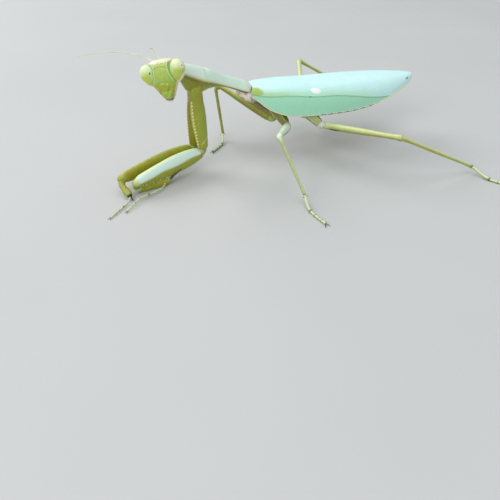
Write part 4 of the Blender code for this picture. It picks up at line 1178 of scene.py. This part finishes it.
spines = []
parts = [prothorax(), thorax(), abdomen(), head(), neck(), cercus(-1), cercus(1)]
for side in FORE_LEGS:
    parts += fore_leg(side, spines)
for name in WALKING_LEGS:
    parts += walking_leg(name, spines)
flesh = ["head", "neck", "prothorax", "thorax", "abdomen_front", "abdomen_rear",
         "cercus_left", "cercus_right"]
flesh += [f"{length}_{leg}" for leg in ("fore_left", "fore_right", *WALKING_LEGS)
          for length in ("coxa", "femur", "tibia", "tarsus")]
place("skin", union("skin", parts), SKIN, "skin", flesh)
piece("spines", spines, ("tip",), SPINE, "spine")
# The false pupil's place across and up each eye, its size, how dark it is and how pale the ring round it
eyeball("right", -1, (0.47, 0.29), (0.08, 0.10), 1, 0)
eyeball("left", 1, (0.59, 0.63), (0.085, 0.075), 0.7, 0.85)
wing("left", -1, False)
wing("right", 1, True)
hind_wings()
feeler("left")
feeler("right")
mouth()
ocelli()


# ------------ floor, light and camera

FLOOR_SIDE, FLOOR_CELLS = 3, 24         # metres each way from the middle
FLOOR_DROP = 0.00002                    # keeps the floor clear of the soles, in metres
# Name, place in metres, size and power
LAMPS = (("key", (-0.32, 0.42, 0.42), 0.45, 2.3), ("top", (0.05, -0.05, 0.60), 0.50, 1),
         ("fill", (-0.44, -0.36, 0.38), 0.45, 1.8))
CAMERA_AT = np.array((-39.2, -108.4, 60))
CAMERA_YAW, CAMERA_DOWN, CAMERA_ROLL = math.radians(19.6), math.radians(38), math.radians(-0.69)
LENS, SENSOR, CLIP_START = 37.04, 36, 0.005


def floor():
    steps = np.linspace(-FLOOR_SIDE, FLOOR_SIDE, FLOOR_CELLS + 1)
    row = FLOOR_CELLS + 1
    corners = [r * row + c for r in range(FLOOR_CELLS) for c in range(FLOOR_CELLS)]
    mesh = bpy.data.meshes.new("floor")
    mesh.from_pydata([(x, y, -FLOOR_DROP) for y in steps for x in steps], [],
                     [(k, k + 1, k + row + 1, k + row) for k in corners])
    made = Nodes("floor", 0.75)
    made.set("Base Color", made.mix(made.noise(0.02), (0.73, 0.73, 0.72), (0.76, 0.76, 0.75)))
    mesh.materials.append(made.material)
    add("floor", mesh)


def lights():
    world = bpy.data.worlds.new("studio")
    world.use_nodes = True
    background = world.node_tree.nodes["Background"].inputs
    background["Color"].default_value = (0.86, 0.93, 1, 1)
    background["Strength"].default_value = 0.55
    bpy.context.scene.world = world
    for name, at, size, power in LAMPS:
        lamp = bpy.data.lights.new(name, "AREA")
        lamp.shape, lamp.size, lamp.energy = "DISK", size, power
        add(name, lamp, at, (-Vector(at)).to_track_quat("-Z", "Y").to_euler())


def camera():
    data = bpy.data.cameras.new("camera")
    data.lens, data.sensor_width, data.clip_start = LENS, SENSOR, CLIP_START
    turn = (Matrix.Rotation(-CAMERA_YAW, 3, "Z") @ Matrix.Rotation(math.pi / 2 - CAMERA_DOWN, 3, "X")
            @ Matrix.Rotation(CAMERA_ROLL, 3, "Z"))
    bpy.context.scene.camera = add("camera", data, CAMERA_AT * MM + SHIFT, turn.to_euler())


floor()
lights()
camera()
bpy.context.scene.view_settings.view_transform = "Standard"
